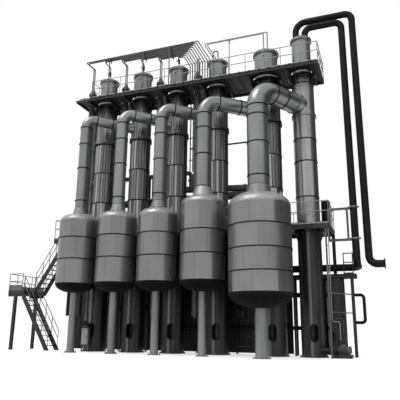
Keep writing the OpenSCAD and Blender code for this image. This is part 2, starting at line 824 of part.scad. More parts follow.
// posts behind the rear pipes, with an arm under each pipe
module pipe_stands() {
    y0 = rear_y + rear_pipe_d / 2 + 15;
    plan() for (x = stand_xs) {
        block([x - 40, y0, 0], [x + 40, y0 + 80, rear_z]);
        block([x - 90, y0 - 60, 0], [x + 90, y0 + 140, 20]);
        for (a = [[rear_pipe_d, rear_z], [low_rear_pipe_d, low_rear_z]]) {
            z = a[1] - a[0] / 2 - seam_gap;
            block([x - 40, rear_y - a[0] / 2, z - 80], [x + 40, y0 + eps, z]);
        }
    }
}

// line of a corrugated sheet of length l and pitch p, at depth y
wave = [[0, 0], [0.35, 0], [0.5, 1], [0.85, 1]];
function waves(l, p, y) = concat(
    [for (k = [0 : round(l / p) - 1]) for (q = wave) [(k + q[0]) * p, y + q[1] * wall_deep]],
    [[l, y]]
);
function turned(v) = [for (i = [len(v) - 1 : -1 : 0]) v[i]];

module wall_sheet(x0, x1) {
    l = x1 - x0;
    p = l / round(l / wall_pitch);
    translate([x0, mid_back - wall_in, wall_sill]) linear_extrude(height = skirt_top - seam_gap - wall_sill)
        polygon(concat(waves(l, p, 0), turned(waves(l, p, wall_t))));
}

// corrugated wall between the rear posts, from the first post to behind the fifth column
module back_wall() {
    w = post_w / 2 + seam_gap;
    plan() {
        wall_sheet(mid_x0 + post_w + seam_gap, pre_x[1] - w);
        wall_sheet(pre_x[1] + w, pre_x[3] - w);
        wall_sheet(pre_x[3] + w, col_x[4] + last_column_d / 2 + 40);
    }
}

// upright pipes in front of the rear wall, up to the middle deck, with a pair of flanges in each
module rear_risers() {
    plan() for (x = riser_xs) translate([x, rear_y + 160, 0]) {
        cylinder(d = riser_d, h = mid_z - plate_t - seam_gap);
        cylinder(d = riser_d + 60, h = 25);
        for (z = [end_z - 1860, end_z - 1380]) ring(riser_d + 60, z, 60);
    }
}

// upright receiver tank under the end platform, on four legs, with a manhole towards the front
module receiver() {
    r = receiver_d / 2;
    h = r * dish_share;
    z1 = end_z - 40 - receiver_gap - h;
    z0 = 300 + h;
    plan() translate([receiver_x, receiver_y, 0]) {
        ring(receiver_d, z0 - eps, z1 - z0 + 2 * eps);
        translate([0, 0, z1]) oval_dish(r, h);
        translate([0, 0, z0]) mirror([0, 0, 1]) oval_dish(r, h);
        for (a = [45 : 90 : 315]) rotate([0, 0, a]) translate([r - 70, -40, 0]) cube([80, 80, z0 + 200]);
        for (z = [z0 + 250, z1 - 250]) ring(receiver_d + 30, z, 50);
        translate([0, -r + 40, z0 + 900]) rotate([90, 0, 0]) {
            cylinder(d = 460, h = 120);
            translate([0, 0, 80]) cylinder(d = 580, h = 40);
        }
    }
}

rear_y = end_y0 + 360;
rear_z = end_z - 1000;
low_rear_z = end_z - low_rear_drop;
rear_x0 = col_x[1] + 500;
receiver_x = col_x[5] + condenser_d / 2 + receiver_d / 2 + 20;
receiver_y = end_y0 + 200;
riser_xs = [col_x[0] + 870, col_x[0] + 1120, col_x[1] + 210];
stand_xs = [col_x[1] + 900, col_x[2] + 900, col_x[3] + 700, col_x[4] - 500];

end_post_x = col_x[5] + cooling_near - cooling_d;

module end_platform() {
    x0 = col_x[4] + last_column_d / 2 + 180;
    x1 = end_post_x + 240;
    z = end_z;
    plan() {
        block([x0, end_y0, z - 40], [x1, end_y1, z]);
        block([x0, end_y0, z - 200], [x1, end_y0 + 60, z - 40 + eps]);
        block([x0, end_y1 - 60, z - 200], [x1, end_y1, z - 40 + eps]);
        for (y = [end_y0, end_y1 - 120]) {
            block([end_post_x - 60, y, 0], [end_post_x + 60, y + 120, z - 40 + eps]);
            block([x0 + 40, y, 0], [x0 + 140, y + 100, z - 40 + eps]);
        }
    }
}

// guard at the front of the end platform, beside the near cooling pipe
module end_guard() {
    x1 = col_x[5] + cooling_near - cooling_d / 2 - 50;
    plan() translate([x1 - 490, end_y0 + half_rail, end_z]) rail_panel(490, 1050, 1, toe_h);
}

// light post under the middle deck's front corner, tied to the end platform by two bars
module corner_frame() {
    x = mid_x1 - 200;
    y = -mid_front + 80;
    dx = end_post_x - x - 30;
    dy = end_y0 - y - 40 - seam_gap;
    plan() {
        block([x - 40, y - 40, 0], [x + 40, y + 40, skirt_top - seam_gap]);
        for (z = [end_z - 1950, end_z - 1060]) translate([x, y, z]) rotate([0, 0, atan2(dy, dx)])
            translate([0, -25, 0]) cube([norm([dx, dy]), 50, 50]);
    }
}

module pipe_bracket() {
    x0 = mid_x1 - 200;
    x1 = col_x[5] + cooling_near + 90;
    y0 = cooling_d / 2 + 6 + seam_gap;
    y1 = y0 + 100;
    plan() {
        block([x0, y0, mid_z + 850], [x1, y1, mid_z + 960]);
        block([x0, y0, mid_z - 740], [x1, y1, mid_z - 620]);
        block([x0, y0, mid_z + seam_gap], [x0 + 100, y1, mid_z + 850 + eps]);
        block([x0, y0, mid_z - 620 - eps], [x0 + 100, y1, skirt_top - seam_gap]);
        block([x1 - 480, y0, mid_z - 620 - eps], [x1 - 380, y1, mid_z + 850 + eps]);
    }
    corner_frame();
}

module deck_cabinet() {
    plan() block([mid_x1 - 560, mid_back - 720, mid_z + seam_gap],
        [mid_x1 - 130, mid_back - 130, mid_z + 1560]);
}

box_x = col_x[0] + 120;
box_y = -mid_front - 120;
stand_z = box_sill + box_h + 70;

module control_box() {
    plan() block([box_x - 200, box_y - 100, box_sill], [box_x + 200, box_y + 100, box_sill + box_h]);
}

module box_stand() {
    g = seam_gap;
    plan() difference() {
        union() {
            for (s = [-1, 1]) block([box_x + s * 225 - 20, box_y - 20, 0],
                [box_x + s * 225 + 20, box_y + 20, stand_z]);
            block([box_x - 240, box_y - 20, stand_z - 40], [box_x + 240, box_y + 20, stand_z]);
            block([box_x - 240, box_y - 20, box_sill - 60], [box_x + 240, box_y + 20, box_sill - g]);
            translate([box_x, box_y, stand_z - eps]) cylinder(d = 60, h = crossing_z - stand_z);
            block([box_x - 240, box_y - 25, separator_low_z - 780],
                [box_x + 240, box_y + 25, separator_low_z - 730]);
            translate([box_x, box_y, stand_z + 180]) rotate([90, 0, 0]) cylinder(d = 260, h = 120, center = true);
        }
        translate([col_x[0], 0, crossing_z]) rotate([90, 0, 0])
            cylinder(d = crossing_d + 2 * g, h = separator_offset);
    }
}

module pump(x, y) {
    translate([x, y, 0]) {
        block([-100, -170, 0], [820, 170, 140]);
        translate([200, 0, 360]) rotate([0, 90, 0]) cylinder(d = 300, h = 560);
        block([260, -120, 139], [700, 120, 330]);
        translate([-20, 0, 360]) rotate([0, 90, 0]) cylinder(d = 430, h = 150);
        translate([100, 0, 360]) rotate([0, 90, 0]) cylinder(d = 190, h = 140);
        translate([-condenser_d / 2 - 365, 0, 360]) rotate([0, 90, 0])
            cylinder(d = 160, h = condenser_d / 2 + 400, $fn = 288);
        translate([-180, 0, 360]) rotate([0, 90, 0]) cylinder(d = 260, h = 30);
        block([-20, -100, 139], [130, 100, 250]);
        translate([55, 110, 360]) cylinder(d = 110, h = 380);
        translate([55, 110, 720]) cylinder(d = 200, h = 30);
    }
}

module pumps() {
    plan() for (y = [-420, 250]) difference() {
        pump(col_x[5] + condenser_d / 2 + 365, y);
        translate([col_x[5], 0, 40 + seam_gap])
            cylinder(d = condenser_d + 2 * seam_gap, h = 1000, $fn = 288);
    }
}

// Middle deck

module mid_deck_plate() {
    plan() difference() {
        block([mid_x0, -mid_front, mid_z - plate_t], [mid_x1, mid_back, mid_z]);
        for (i = [0 : 5]) {
            translate([col_x[i], 0, mid_z - 2 * plate_t]) cylinder(d = col_d[i] + 60, h = 3 * plate_t);
        }
        for (x = pre_x) translate([x, 0, mid_z - 2 * plate_t])
            cylinder(d = preheater_d + 60, h = 3 * plate_t);
    }
}

module mid_deck_frame() {
    plan() deck_grid(mid_x0, mid_x1, -mid_front, mid_back, mid_z - plate_t, grid_xs, beam_h);
}

module mid_deck_rails() {
    lx = mid_x1 - mid_x0;
    ly = mid_back + mid_front - 4 * rail_d;
    gate = flight_step + half_rail;
    plan() {
        translate([mid_x0, -mid_front + half_rail, mid_z]) rail_panel(lx, rail_h, 15, toe_h);
        translate([mid_x0, mid_back - half_rail, mid_z]) rail_panel(lx, rail_h, 15, toe_h);
        translate([mid_x1 - half_rail, -mid_front + 2 * rail_d, mid_z]) rotate([0, 0, 90])
            rail_panel(ly, rail_h, 3, toe_h);
        translate([mid_x0 + half_rail, -mid_front + 2 * rail_d, mid_z]) rotate([0, 0, 90])
            rail_panel(mid_front - 3 * rail_d, rail_h, 1, toe_h);
        translate([mid_x0 + half_rail, gate, mid_z]) rotate([0, 0, 90])
            rail_panel(mid_back - gate - 2 * rail_d, rail_h, 1, toe_h);
    }
}

module mid_deck_posts() {
    h = skirt_top;
    w = post_w / 2;
    plan() for (x = [mid_x0 + w, pre_x[1], pre_x[3], mid_x1 - w]) {
        translate([x, mid_back - w, 0]) {
            translate([-w, -w, 0]) cube([post_w, post_w, h]);
            translate([-w - 60, -w - 60, 0]) cube([post_w + 120, post_w + 60, 25]);
        }
    }
}

// Stair

module stair_landing() {
    z = landing_z - plate_t;
    plan() {
        block([landing_x0, landing_y0, z], [landing_x1, landing_y1, landing_z]);
        block([landing_x0, landing_y0, z - 180], [landing_x1, landing_y0 + 60, z + eps]);
        block([landing_x0, landing_y1 - 60, z - 180], [landing_x1, landing_y1, z + eps]);
        block([landing_x0, landing_y0, z - 180], [landing_x0 + 60, landing_y1, z + eps]);
        block([landing_x1 - 60, landing_y0, z - 180], [landing_x1, landing_y1, z + eps]);
        block([landing_x0, -30, z - 180], [landing_x1, 30, z + eps]);
    }
}

module landing_posts() {
    h = landing_z - plate_t - 180;
    w = post_w / 2;
    x = (landing_x0 + landing_x1) / 2;
    plan() for (y = [landing_y0 + w, landing_y1 - w]) {
        translate([x - w, y - w, 0]) cube([post_w, post_w, h]);
        block([landing_x0, y - 60, h - 120], [landing_x1, y + 60, h]);
    }
}

// one stringer, rising by rise over run towards +X from the origin, in the XZ plane
module stringer(run, rise) {
    drop = stringer_h / cos(stair_slope);
    rotate([90, 0, 0]) linear_extrude(height = stringer_t, center = true) intersection() {
        polygon([[0, stringer_lip], [run, rise + stringer_lip], [run, rise + stringer_lip - drop],
            [0, stringer_lip - drop]]);
        translate([-10, 0]) square([run + 20, rise]);
    }
}

module stringers() {
    inset = seam_gap;
    plan() {
        for (s = [0, 1]) {
            y = landing_y0 + stringer_t / 2 + 20 + s * (flight_w + stringer_t);
            translate([landing_x1 + inset + lower_run, y, 0]) mirror([1, 0, 0])
                stringer(lower_run, landing_z);
            translate([landing_x1 + inset, y + flight_step, landing_z]) translate([0, 0, -1]) stringer_up();
        }
    }
}

module stringer_up() {
    rise = mid_z - landing_z;
    run = upper_run - 2 * seam_gap;
    drop = stringer_h / cos(stair_slope);
    rotate([90, 0, 0]) linear_extrude(height = stringer_t, center = true) intersection() {
        polygon([[0, stringer_lip], [run, rise + stringer_lip], [run, rise + stringer_lip - drop],
            [0, stringer_lip - drop]]);
        translate([-10, -200]) square([run + 20, rise + 200]);
    }
}

module treads() {
    lower_rise = landing_z / lower_risers;
    lower_go = lower_run / lower_risers;
    upper_rise = (mid_z - landing_z) / upper_risers;
    upper_go = upper_run / upper_risers;
    y0 = landing_y0 + stringer_t + 20;
    plan() {
        for (k = [1 : lower_risers - 1]) {
            translate([landing_x1 + lower_run - (k + 0.25) * lower_go - 110, y0, k * lower_rise - 35])
                cube([220, flight_w, 35]);
        }
        for (k = [1 : upper_risers - 1]) {
            translate([landing_x1 + (k + 0.25) * upper_go - 110, y0 + flight_step, landing_z + k * upper_rise - 35])
                cube([220, flight_w, 35]);
        }
    }
}

// sloping railing in the XZ plane, over a flight that rises by rise over run
module flight_rail(run, rise, bays) {
    h = stair_rail_h;
    t = tan(stair_slope);
    w = rail_d / cos(stair_slope);
    a = 60;
    b = run - 60;
    foot = stringer_lip + seam_gap;
    rotate([90, 0, 0]) linear_extrude(height = rail_d, center = true) {
        for (i = [0 : bays]) {
            x = a + i * (b - a - rail_d) / bays;
            polygon([[x, x * t + foot], [x + rail_d, (x + rail_d) * t + foot],
                [x + rail_d, (x + rail_d) * t + h], [x, x * t + h]]);
        }
        for (u = [h, 0.55 * h]) polygon([[a, a * t + u - w], [b, b * t + u - w], [b, b * t + u],
            [a, a * t + u]]);
    }
}

module stair_rails() {
    rise = mid_z - landing_z;
    plan() {
        for (s = [0, 1]) {
            y = landing_y0 + stringer_t / 2 + 20 + s * (flight_w + stringer_t);
            translate([landing_x1 + lower_run, y, 0]) mirror([1, 0, 0])
                flight_rail(lower_run, landing_z, 4);
            translate([landing_x1, y + flight_step, landing_z]) flight_rail(upper_run, rise, 4);
        }
        translate([landing_x0 + half_rail, landing_y0 + 2 * rail_d, landing_z]) rotate([0, 0, 90])
            rail_panel(landing_y1 - landing_y0 - 4 * rail_d, stair_rail_h, 3, kick_h);
        translate([landing_x0, landing_y0 + half_rail, landing_z])
            rail_panel(landing_l - 20, stair_rail_h, 1, kick_h);
        translate([landing_x0, landing_y1 - half_rail, landing_z])
            rail_panel(landing_l - 20, stair_rail_h, 1, kick_h);
    }
}

color(dark) skirt(0);  // skirt_1
color(dark) skirt(1);  // skirt_2
color(dark) skirt(2);  // skirt_3
color(dark) skirt(3);  // skirt_4
color(dark) skirt(4);  // skirt_5
color(dark) skirt(5);  // condenser_skirt
color(steel) column_shell(0, column_bands, column_flange_z);  // column_1
color(steel) column_shell(1, column_bands, column_flange_z);  // column_2
color(steel) column_shell(2, column_bands, column_flange_z);  // column_3
color(steel) column_shell(3, column_bands, column_flange_z);  // column_4
color(steel) column_shell(4, column_bands, column_flange_z);  // column_5
color(steel) column_shell(5, condenser_bands, condenser_joint_z);  // condenser_shell
color(steel) column_heads();
color(steel) column_head(5, condenser_flange_z, condenser_dome, [], false);  // condenser_head
color(steel) separator_shell(0);  // separator_1
color(steel) separator_shell(1);  // separator_2
color(steel) separator_shell(2);  // separator_3
color(steel) separator_shell(3);  // separator_4
color(steel) separator_shell(4);  // separator_5
color(steel) separator_tops();
color(steel) separator_bottoms();
color(grey) drain_legs();
color(steel) vapour_duct(0, duct_bands, 900);  // vapour_duct_1
color(steel) vapour_duct(1, duct_bands, 900);  // vapour_duct_2
color(steel) vapour_duct(2, duct_bands, 900);  // vapour_duct_3
color(steel) vapour_duct(3, duct_bands, 1200);  // vapour_duct_4
color(steel) vapour_duct(4, last_duct_bands, 700);  // vapour_duct_5
color(dark) low_crossings();
color(steel) preheaters();
color(grey) upper_deck_plate();
color(grey) upper_deck_frame();
color(grey) upper_deck_rails();
color(steel) pipe_bundle();
color(grey) bundle_supports();
color(steel) vent_lines();
color(black) cooling_supply();
color(black) cooling_return();
color(grey) pipe_bracket();
color(grey) header_pipe();
color(black) low_pipes();
color(dark) end_platform();
color(dark) pipe_stands();
color(dark) receiver();
color(dark) end_guard();
color(dark) back_wall();
color(steel) rear_risers();
color(dark) deck_cabinet();
color(steel) control_box();
color(dark) box_stand();
color(dark) pumps();
color(grey) mid_deck_plate();
color(grey) mid_deck_frame();
color(grey) mid_deck_rails();
color(dark) mid_deck_posts();
color(grey) stair_landing();
color(dark) landing_posts();
color(dark) stringers();
color(dark) treads();
color(grey) stair_rails();
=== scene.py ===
# %% [markdown]
# # A five-effect vacuum concentrator
# The real plant boils a thin liquor in five tall columns under vacuum. Each column feeds a
# separator that stands in front of it, and the vapour goes over the top to the next column.
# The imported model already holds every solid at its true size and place. This lesson dresses it:
# finishes for steel and paint, dark straps, lapped sheets, round rails, bolts, valves and gratings.
# We start by loading the solids and by noting the box that they fill.

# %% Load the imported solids
import json
import math

import bpy
from mathutils import Matrix, Vector


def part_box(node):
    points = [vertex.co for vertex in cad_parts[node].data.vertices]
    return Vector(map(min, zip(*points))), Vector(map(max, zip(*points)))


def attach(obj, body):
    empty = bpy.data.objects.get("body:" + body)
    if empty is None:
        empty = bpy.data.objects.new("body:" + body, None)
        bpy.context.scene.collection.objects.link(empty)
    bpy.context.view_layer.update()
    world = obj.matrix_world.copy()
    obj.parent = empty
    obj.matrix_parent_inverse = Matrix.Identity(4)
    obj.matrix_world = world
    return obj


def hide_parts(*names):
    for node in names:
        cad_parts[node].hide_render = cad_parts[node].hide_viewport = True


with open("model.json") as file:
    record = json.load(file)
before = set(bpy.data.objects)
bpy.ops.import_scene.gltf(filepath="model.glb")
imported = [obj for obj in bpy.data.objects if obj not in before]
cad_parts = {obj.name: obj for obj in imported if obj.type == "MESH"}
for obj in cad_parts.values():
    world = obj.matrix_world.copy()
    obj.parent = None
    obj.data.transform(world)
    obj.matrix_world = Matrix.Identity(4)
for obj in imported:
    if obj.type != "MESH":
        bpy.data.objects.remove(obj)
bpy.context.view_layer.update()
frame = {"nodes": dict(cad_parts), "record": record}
nodes = frame["nodes"]
print("loaded", len(nodes), "solids")

# %% [markdown]
# ## Where things stand
# As little as possible is placed by eye. The middle of a node's box is the axis of a column or a
# separator, and half its width, less what stands out from it, is its radius. If a size changes in
# the model, most of the dressing follows it.

# %% Axes and radii of the round pieces
RING_OUT, STRAP_OUT = 0.16, 0.022
COLUMNS = [f"column_{i}" for i in range(1, 6)] + ["condenser_shell"]
SKIRTS = [f"skirt_{i}" for i in range(1, 6)] + ["condenser_skirt"]
SEPARATORS = [f"separator_{i}" for i in range(1, 6)]
ALONG, BACK, UP = Vector((1, 0, 0)), Vector((0, 1, 0)), Vector((0, 0, 1))


def round_piece(node, stands_out):
    low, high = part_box(node)
    middle = (low + high) / 2
    return {"x": middle.x, "y": middle.y, "r": (high.x - low.x) / 2 - stands_out,
            "z0": low.z, "z1": high.z}


columns = [round_piece(name, RING_OUT) for name in COLUMNS]
separators = [round_piece(name, STRAP_OUT) for name in SEPARATORS]
AXIS_Y = columns[0]["y"]


def on_axis(shell, z):
    return Vector((shell["x"], shell["y"], z))


def col_x(i, more):
    return columns[i]["x"] + more


print("columns at x", [round(c["x"], 2) for c in columns])

# %% [markdown]
# Heights are read from the two decks. The vapour ducts run a fixed drop below the upper one, and
# each column has a flanged joint below its duct.

# %% Heights of decks, ducts and flanges
deck_low, deck_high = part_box("upper_deck_plate")
mid_low, mid_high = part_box("mid_deck_plate")
DECK_Z, MID_Z = deck_high.z, mid_high.z
DUCT_Z = DECK_Z - 1.88
COLUMN_FLANGE, CONDENSER_FLANGE = DUCT_Z - 0.79, DUCT_Z - 0.69
DUCT_D = [0.60, 0.65, 0.69, 0.80, 1.06]
DISH_SHARE = 0.47
print("decks at", round(MID_Z, 2), round(DECK_Z, 2))

# %% [markdown]
# ## The camera
# The photograph was taken from the ground, in front of the condenser end and looking up the row.
# A camera can be aimed with a constraint, but here the direction was solved from the straight
# edges in the picture, so its three axes are written out: forward, right and up.

# %% Camera at the photograph's place
CAMERA_AT = Vector((10.655, -24.053, 1.151))
YAW, PITCH, ROLL = (math.radians(a) for a in (20.57, 14.62, 0.64))
FOCAL_PIXELS, FRAME_PIXELS, SENSOR_MM, FAR_CLIP = 502.3, 400, 36.0, 500
forward = Vector((-math.sin(YAW) * math.cos(PITCH), math.cos(YAW) * math.cos(PITCH),
                  math.sin(PITCH)))
level = Vector((math.cos(YAW), math.sin(YAW), 0))
upward = level.cross(forward)
right = level * math.cos(ROLL) + upward * math.sin(ROLL)
up = right.cross(forward)
camera_data = bpy.data.cameras.new("camera")
camera_data.sensor_width = SENSOR_MM
camera_data.lens = SENSOR_MM * FOCAL_PIXELS / FRAME_PIXELS
camera_data.clip_end = FAR_CLIP
camera = bpy.data.objects.new("camera", camera_data)
axes = Matrix((right, up, -forward)).transposed().to_4x4()
camera.matrix_world = Matrix.Translation(CAMERA_AT) @ axes
bpy.context.scene.collection.objects.link(camera)
bpy.context.scene.camera = camera
print("camera lens", round(camera_data.lens, 1), "mm")

# %% [markdown]
# ## A kit for shader nodes
# Sky, floor and finishes are all node trees. Code wires a tree in a few kinds of line: make some
# nodes, link or set their sockets, and now and then sum, stretch or blend two values. A small class
# gives each kind a short name. The last one uses Light Path, which tells what kind of ray asks:
# camera, mirror and see-through rays are the ones that look at the background.

# %% Short names for shader nodes
class Tree:
    def __init__(self, owner):
        owner.use_nodes = True
        self.tree = owner.node_tree
        self.tree.nodes.clear()

    def make(self, *kinds):
        return [self.tree.nodes.new("ShaderNode" + kind) for kind in kinds]

    def wire(self, *pairs):
        """Links a value to its socket, or sets the socket if the value is a plain one."""
        for value, socket in pairs:
            if hasattr(value, "is_linked"):
                self.tree.links.new(value, socket)
            else:
                socket.default_value = value

    def sums(self, operation, *values):
        node, = self.make("Math")
        node.operation = operation
        self.wire(*zip(values, node.inputs))
        return node.outputs[0]

    def ramp(self, value, low, high, to_low, to_high, kind="LINEAR"):
        node, = self.make("MapRange")
        node.interpolation_type = kind
        ends = zip((low, high, to_low, to_high), ("From Min", "From Max", "To Min", "To Max"))
        self.wire((value, node.inputs["Value"]), *((v, node.inputs[name]) for v, name in ends))
        return node.outputs[0]

    def blend(self, amount, a, b):
        node, = self.make("Mix")
        node.data_type = "RGBA"
        self.wire((amount, node.inputs[0]), (a, node.inputs[6]), (b, node.inputs[7]))
        return node.outputs[2]

    def noise(self, where, scale, stretch, detail):
        place, node = self.make("Mapping", "TexNoise")
        self.wire((where, place.inputs["Vector"]), (stretch, place.inputs["Scale"]),
                  (place.outputs[0], node.inputs["Vector"]),
                  (scale, node.inputs["Scale"]), (detail, node.inputs["Detail"]))
        return node.outputs["Fac"]

    def background_rays(self):
        path, = self.make("LightPath")
        seen = path.outputs["Is Camera Ray"]
        for kind in ("Is Glossy Ray", "Is Transmission Ray"):
            seen = self.sums("MAXIMUM", seen, path.outputs[kind])
        return seen


print("the node kit is ready")

# %% [markdown]
# ## Light and floor
# The picture was taken under a bright, hazy sky. The sky of this scene is bright all round but for
# one dim sector behind the right-hand end, where the plant is almost black in the picture, and it
# darkens towards the horizon, where a yard has its walls and trees. Only scattered light comes from
# this sky. The rays that look at the background get plain white instead.

# %% A hazy sky with one dim sector
SKY_BRIGHT, SKY_DIM, HORIZON, ZENITH = 1.0, 0.05, 0.78, 1.5
DIM_SIDE, DIM_EDGE, SKY_EDGE = (0.74, 0.67, -2.2), (-0.06, 0.18), (-0.02, 0.8)
SKY_TINT, WHITE = (0.98, 0.99, 1.0, 1), (1, 1, 1, 1)
bpy.context.scene.view_settings.view_transform = "Standard"
world = bpy.data.worlds.new("sky")
bpy.context.scene.world = world
t = Tree(world)
look, facing, height, sky, plain, mix, out = t.make(
    "TexCoord", "VectorMath", "SeparateXYZ", "Background", "Background", "MixShader", "OutputWorld")
facing.operation = "DOT_PRODUCT"
t.wire((look.outputs["Generated"], facing.inputs[0]), (DIM_SIDE, facing.inputs[1]),
       (look.outputs["Generated"], height.inputs[0]))
sector = t.ramp(facing.outputs["Value"], *DIM_EDGE, SKY_BRIGHT, SKY_DIM, "SMOOTHSTEP")
rise = t.ramp(height.outputs[2], *SKY_EDGE, HORIZON, ZENITH, "SMOOTHSTEP")
t.wire((SKY_TINT, sky.inputs["Color"]), (WHITE, plain.inputs["Color"]),
       (t.sums("MULTIPLY", sector, rise), sky.inputs["Strength"]),
       (t.background_rays(), mix.inputs[0]), (sky.outputs[0], mix.inputs[1]),
       (plain.outputs[0], mix.inputs[2]), (mix.outputs[0], out.inputs[0]))
print("sky is set")

# %% [markdown]
# A broad sun disc stands high on the left, a little in front of the row, and adds a soft key. A sun
# lamp shines along its own -Z, so its Z axis is turned to point at where the light comes from.

# %% Sun
SUN_STRENGTH, SUN_SIZE, SUN_FROM = 1.5, math.radians(30), Vector((-0.50, -0.60, 1.50))
sun_data = bpy.data.lights.new("sun", "SUN")
sun_data.energy, sun_data.angle = SUN_STRENGTH, SUN_SIZE
sun = bpy.data.objects.new("sun", sun_data)
sun.rotation_mode = "QUATERNION"
sun.rotation_quaternion = SUN_FROM.to_track_quat("Z", "Y")
bpy.context.scene.collection.objects.link(sun)
print("sun is set")

# %% [markdown]
# The yard under the plant is dark, so it throws little light up under the decks. To the rays that
# look at the background the same floor is white paper that keeps the shadow: part of its brightness
# is its own glow, and the rest is light that falls on it.

# %% Floor
FLOOR_HALF, FLOOR_GLOW, YARD_GREY, PAPER_GREY = 140, 0.62, 0.07, 0.94


def stage_sheet(name, points, faces, paint):
    mesh = bpy.data.meshes.new(name)
    mesh.from_pydata(points, [], faces)
    mesh.materials.append(paint)
    sheet = bpy.data.objects.new(name, mesh)
    bpy.context.scene.collection.objects.link(sheet)
    return sheet


def grey(value):
    return (value, value, value, 1)


floor_paint = bpy.data.materials.new("pale_floor")
t = Tree(floor_paint)
yard, paper, glow, shadowed, chosen, out = t.make(
    "BsdfDiffuse", "BsdfDiffuse", "Emission", "MixShader", "MixShader", "OutputMaterial")
t.wire((grey(YARD_GREY), yard.inputs["Color"]), (grey(PAPER_GREY), paper.inputs["Color"]),
       (FLOOR_GLOW, shadowed.inputs[0]), (paper.outputs[0], shadowed.inputs[1]),
       (glow.outputs[0], shadowed.inputs[2]), (t.background_rays(), chosen.inputs[0]),
       (yard.outputs[0], chosen.inputs[1]), (shadowed.outputs[0], chosen.inputs[2]),
       (chosen.outputs[0], out.inputs[0]))
square = ((-1, -1), (1, -1), (1, 1), (-1, 1))
floor_corners = [(x * FLOOR_HALF, y * FLOOR_HALF, 0) for x, y in square]
floor = stage_sheet("floor", floor_corners, [(0, 1, 2, 3)], floor_paint)
print("floor is set")

# %% [markdown]
# Metal shows what stands around it. A photographer who wants dark edges on it sets up a flag, a dark
# card out of the picture, and the yard has its own: whatever stands behind the right-hand end. This
# flag is a curved wall round that corner. Only mirror rays see it: it hides from the camera, and it
# takes no light from the floor.

# %% A dark flag round the right-hand corner
FLAG_R, FLAG_H, FLAG_FROM, FLAG_TO, FLAG_STEPS, FLAG_GREY = 90.0, 75.0, -15, 112, 24, 0.03
flag_paint = bpy.data.materials.new("flag_black")
t = Tree(flag_paint)
cloth, out = t.make("BsdfDiffuse", "OutputMaterial")
t.wire((grey(FLAG_GREY), cloth.inputs["Color"]), (cloth.outputs[0], out.inputs[0]))
across = FLAG_STEPS + 1
turns = [math.radians(FLAG_FROM + (FLAG_TO - FLAG_FROM) * k / FLAG_STEPS) for k in range(across)]
flag_points = [(FLAG_R * math.cos(a), FLAG_R * math.sin(a), z) for z in (0, FLAG_H) for a in turns]
flag_faces = [(k, k + 1, across + k + 1, across + k) for k in range(FLAG_STEPS)]
flag = stage_sheet("dark_flag", flag_points, flag_faces, flag_paint)
flag.visible_camera = flag.visible_diffuse = flag.visible_shadow = False
print("flag is set")

# %% [markdown]
# ## Finishes
# Weathered metal is never one grey. Three things make it: broad clouds of tone, streaks that rain
# draws downwards, and a fine grain that breaks the gloss. One function builds all of them from
# noise in the object's own coordinates, so that a streak runs on from one piece to the next. Each
# finish then only differs in its colours, its gloss and how much of each it has. The stretch along
# Z is what turns plain noise into streaks.

# %% A finish of clouds, streaks and grain
BUMP_STRENGTH, GLOSS_SPREAD = 0.35, 0.22


def opaque(colour):
    """Adds full alpha to a colour, which may also be one number for a grey."""
    return grey(colour) if isinstance(colour, float) else tuple(colour) + (1,)


def finish(name, colour, dirt_and_reflection, metallic, gloss, clouds, streaks, grain, dents, shine=0.5,
           sheets=None):
    colour, dirt_and_reflection = opaque(colour)[:3], opaque(dirt_and_reflection)
    material = bpy.data.materials.new(name)
    t = Tree(material)
    out, skin, place, bump = t.make("OutputMaterial", "BsdfPrincipled", "TexCoord", "Bump")
    where = place.outputs["Object"]
    cloud = t.noise(where, 0.55, (1, 1, 0.6), 5)
    streak = t.noise(where, 5.0, (1, 1, 0.09), 6)
    fine = t.noise(where, 38.0, (1, 1, 1), 4)
    dent = t.noise(where, 1.6, (1, 1, 0.5), 2)
    light = opaque(min(1, c * (1 + clouds * 0.5)) for c in colour)
    dark = opaque(c * (1 - clouds) for c in colour)
    tone = t.blend(t.ramp(cloud, 0.32, 0.68, 0, 1), dark, light)
    tone = t.blend(t.ramp(streak, 0.50, 0.72, 0, streaks), tone, dirt_and_reflection)
    tone = t.blend(t.ramp(fine, 0.55, 0.8, 0, grain), tone, dirt_and_reflection)
    if sheets:
        tone, facet = sheet_tones(t, where, tone, dirt_and_reflection, **sheets)
        t.wire((facet, bump.inputs["Normal"]))
    rough = t.ramp(t.blend(0.45, streak, fine), 0.35, 0.7, gloss, min(1, gloss + GLOSS_SPREAD))
    t.wire((metallic, skin.inputs["Metallic"]), (shine, skin.inputs["Specular IOR Level"]),
           (tone, skin.inputs["Base Color"]), (rough, skin.inputs["Roughness"]),
           (BUMP_STRENGTH, bump.inputs["Strength"]), (dents, bump.inputs["Distance"]),
           (t.blend(0.25, dent, fine), bump.inputs["Height"]),
           (bump.outputs[0], skin.inputs["Normal"]), (skin.outputs[0], out.inputs[0]))
    return material


print("the finish function is ready")

# %% [markdown]
# The lagging of a column is made of curved sheets, each from a different batch, so no two have the
# same tone. The shader can find out which sheet a point lies on: the angle around the column's axis
# is cut into steps, the straps cut the height, and every pair of steps gets its own random tone.
# Each sheet has a dark band at its edge, and its normal leans to the sheet's middle, so that it
# looks a little flat. On the separators and the condenser the band is a joint and the tones are
# batches. On the columns the darkened sheets and the wide dark bands are painted reflections of the
# neighbouring columns, and on the skirts the lighter stripes are painted reflections. Under the deck
# a painted shade darkens the top.

# %% Tones and facets of lapped sheets
TIER_TURN, JOINT_AND_REFLECTION_DARK, DECK_SHADE_DARK, NEAR_BLACK = 0.37, 0.75, 0.85, grey(0.012)


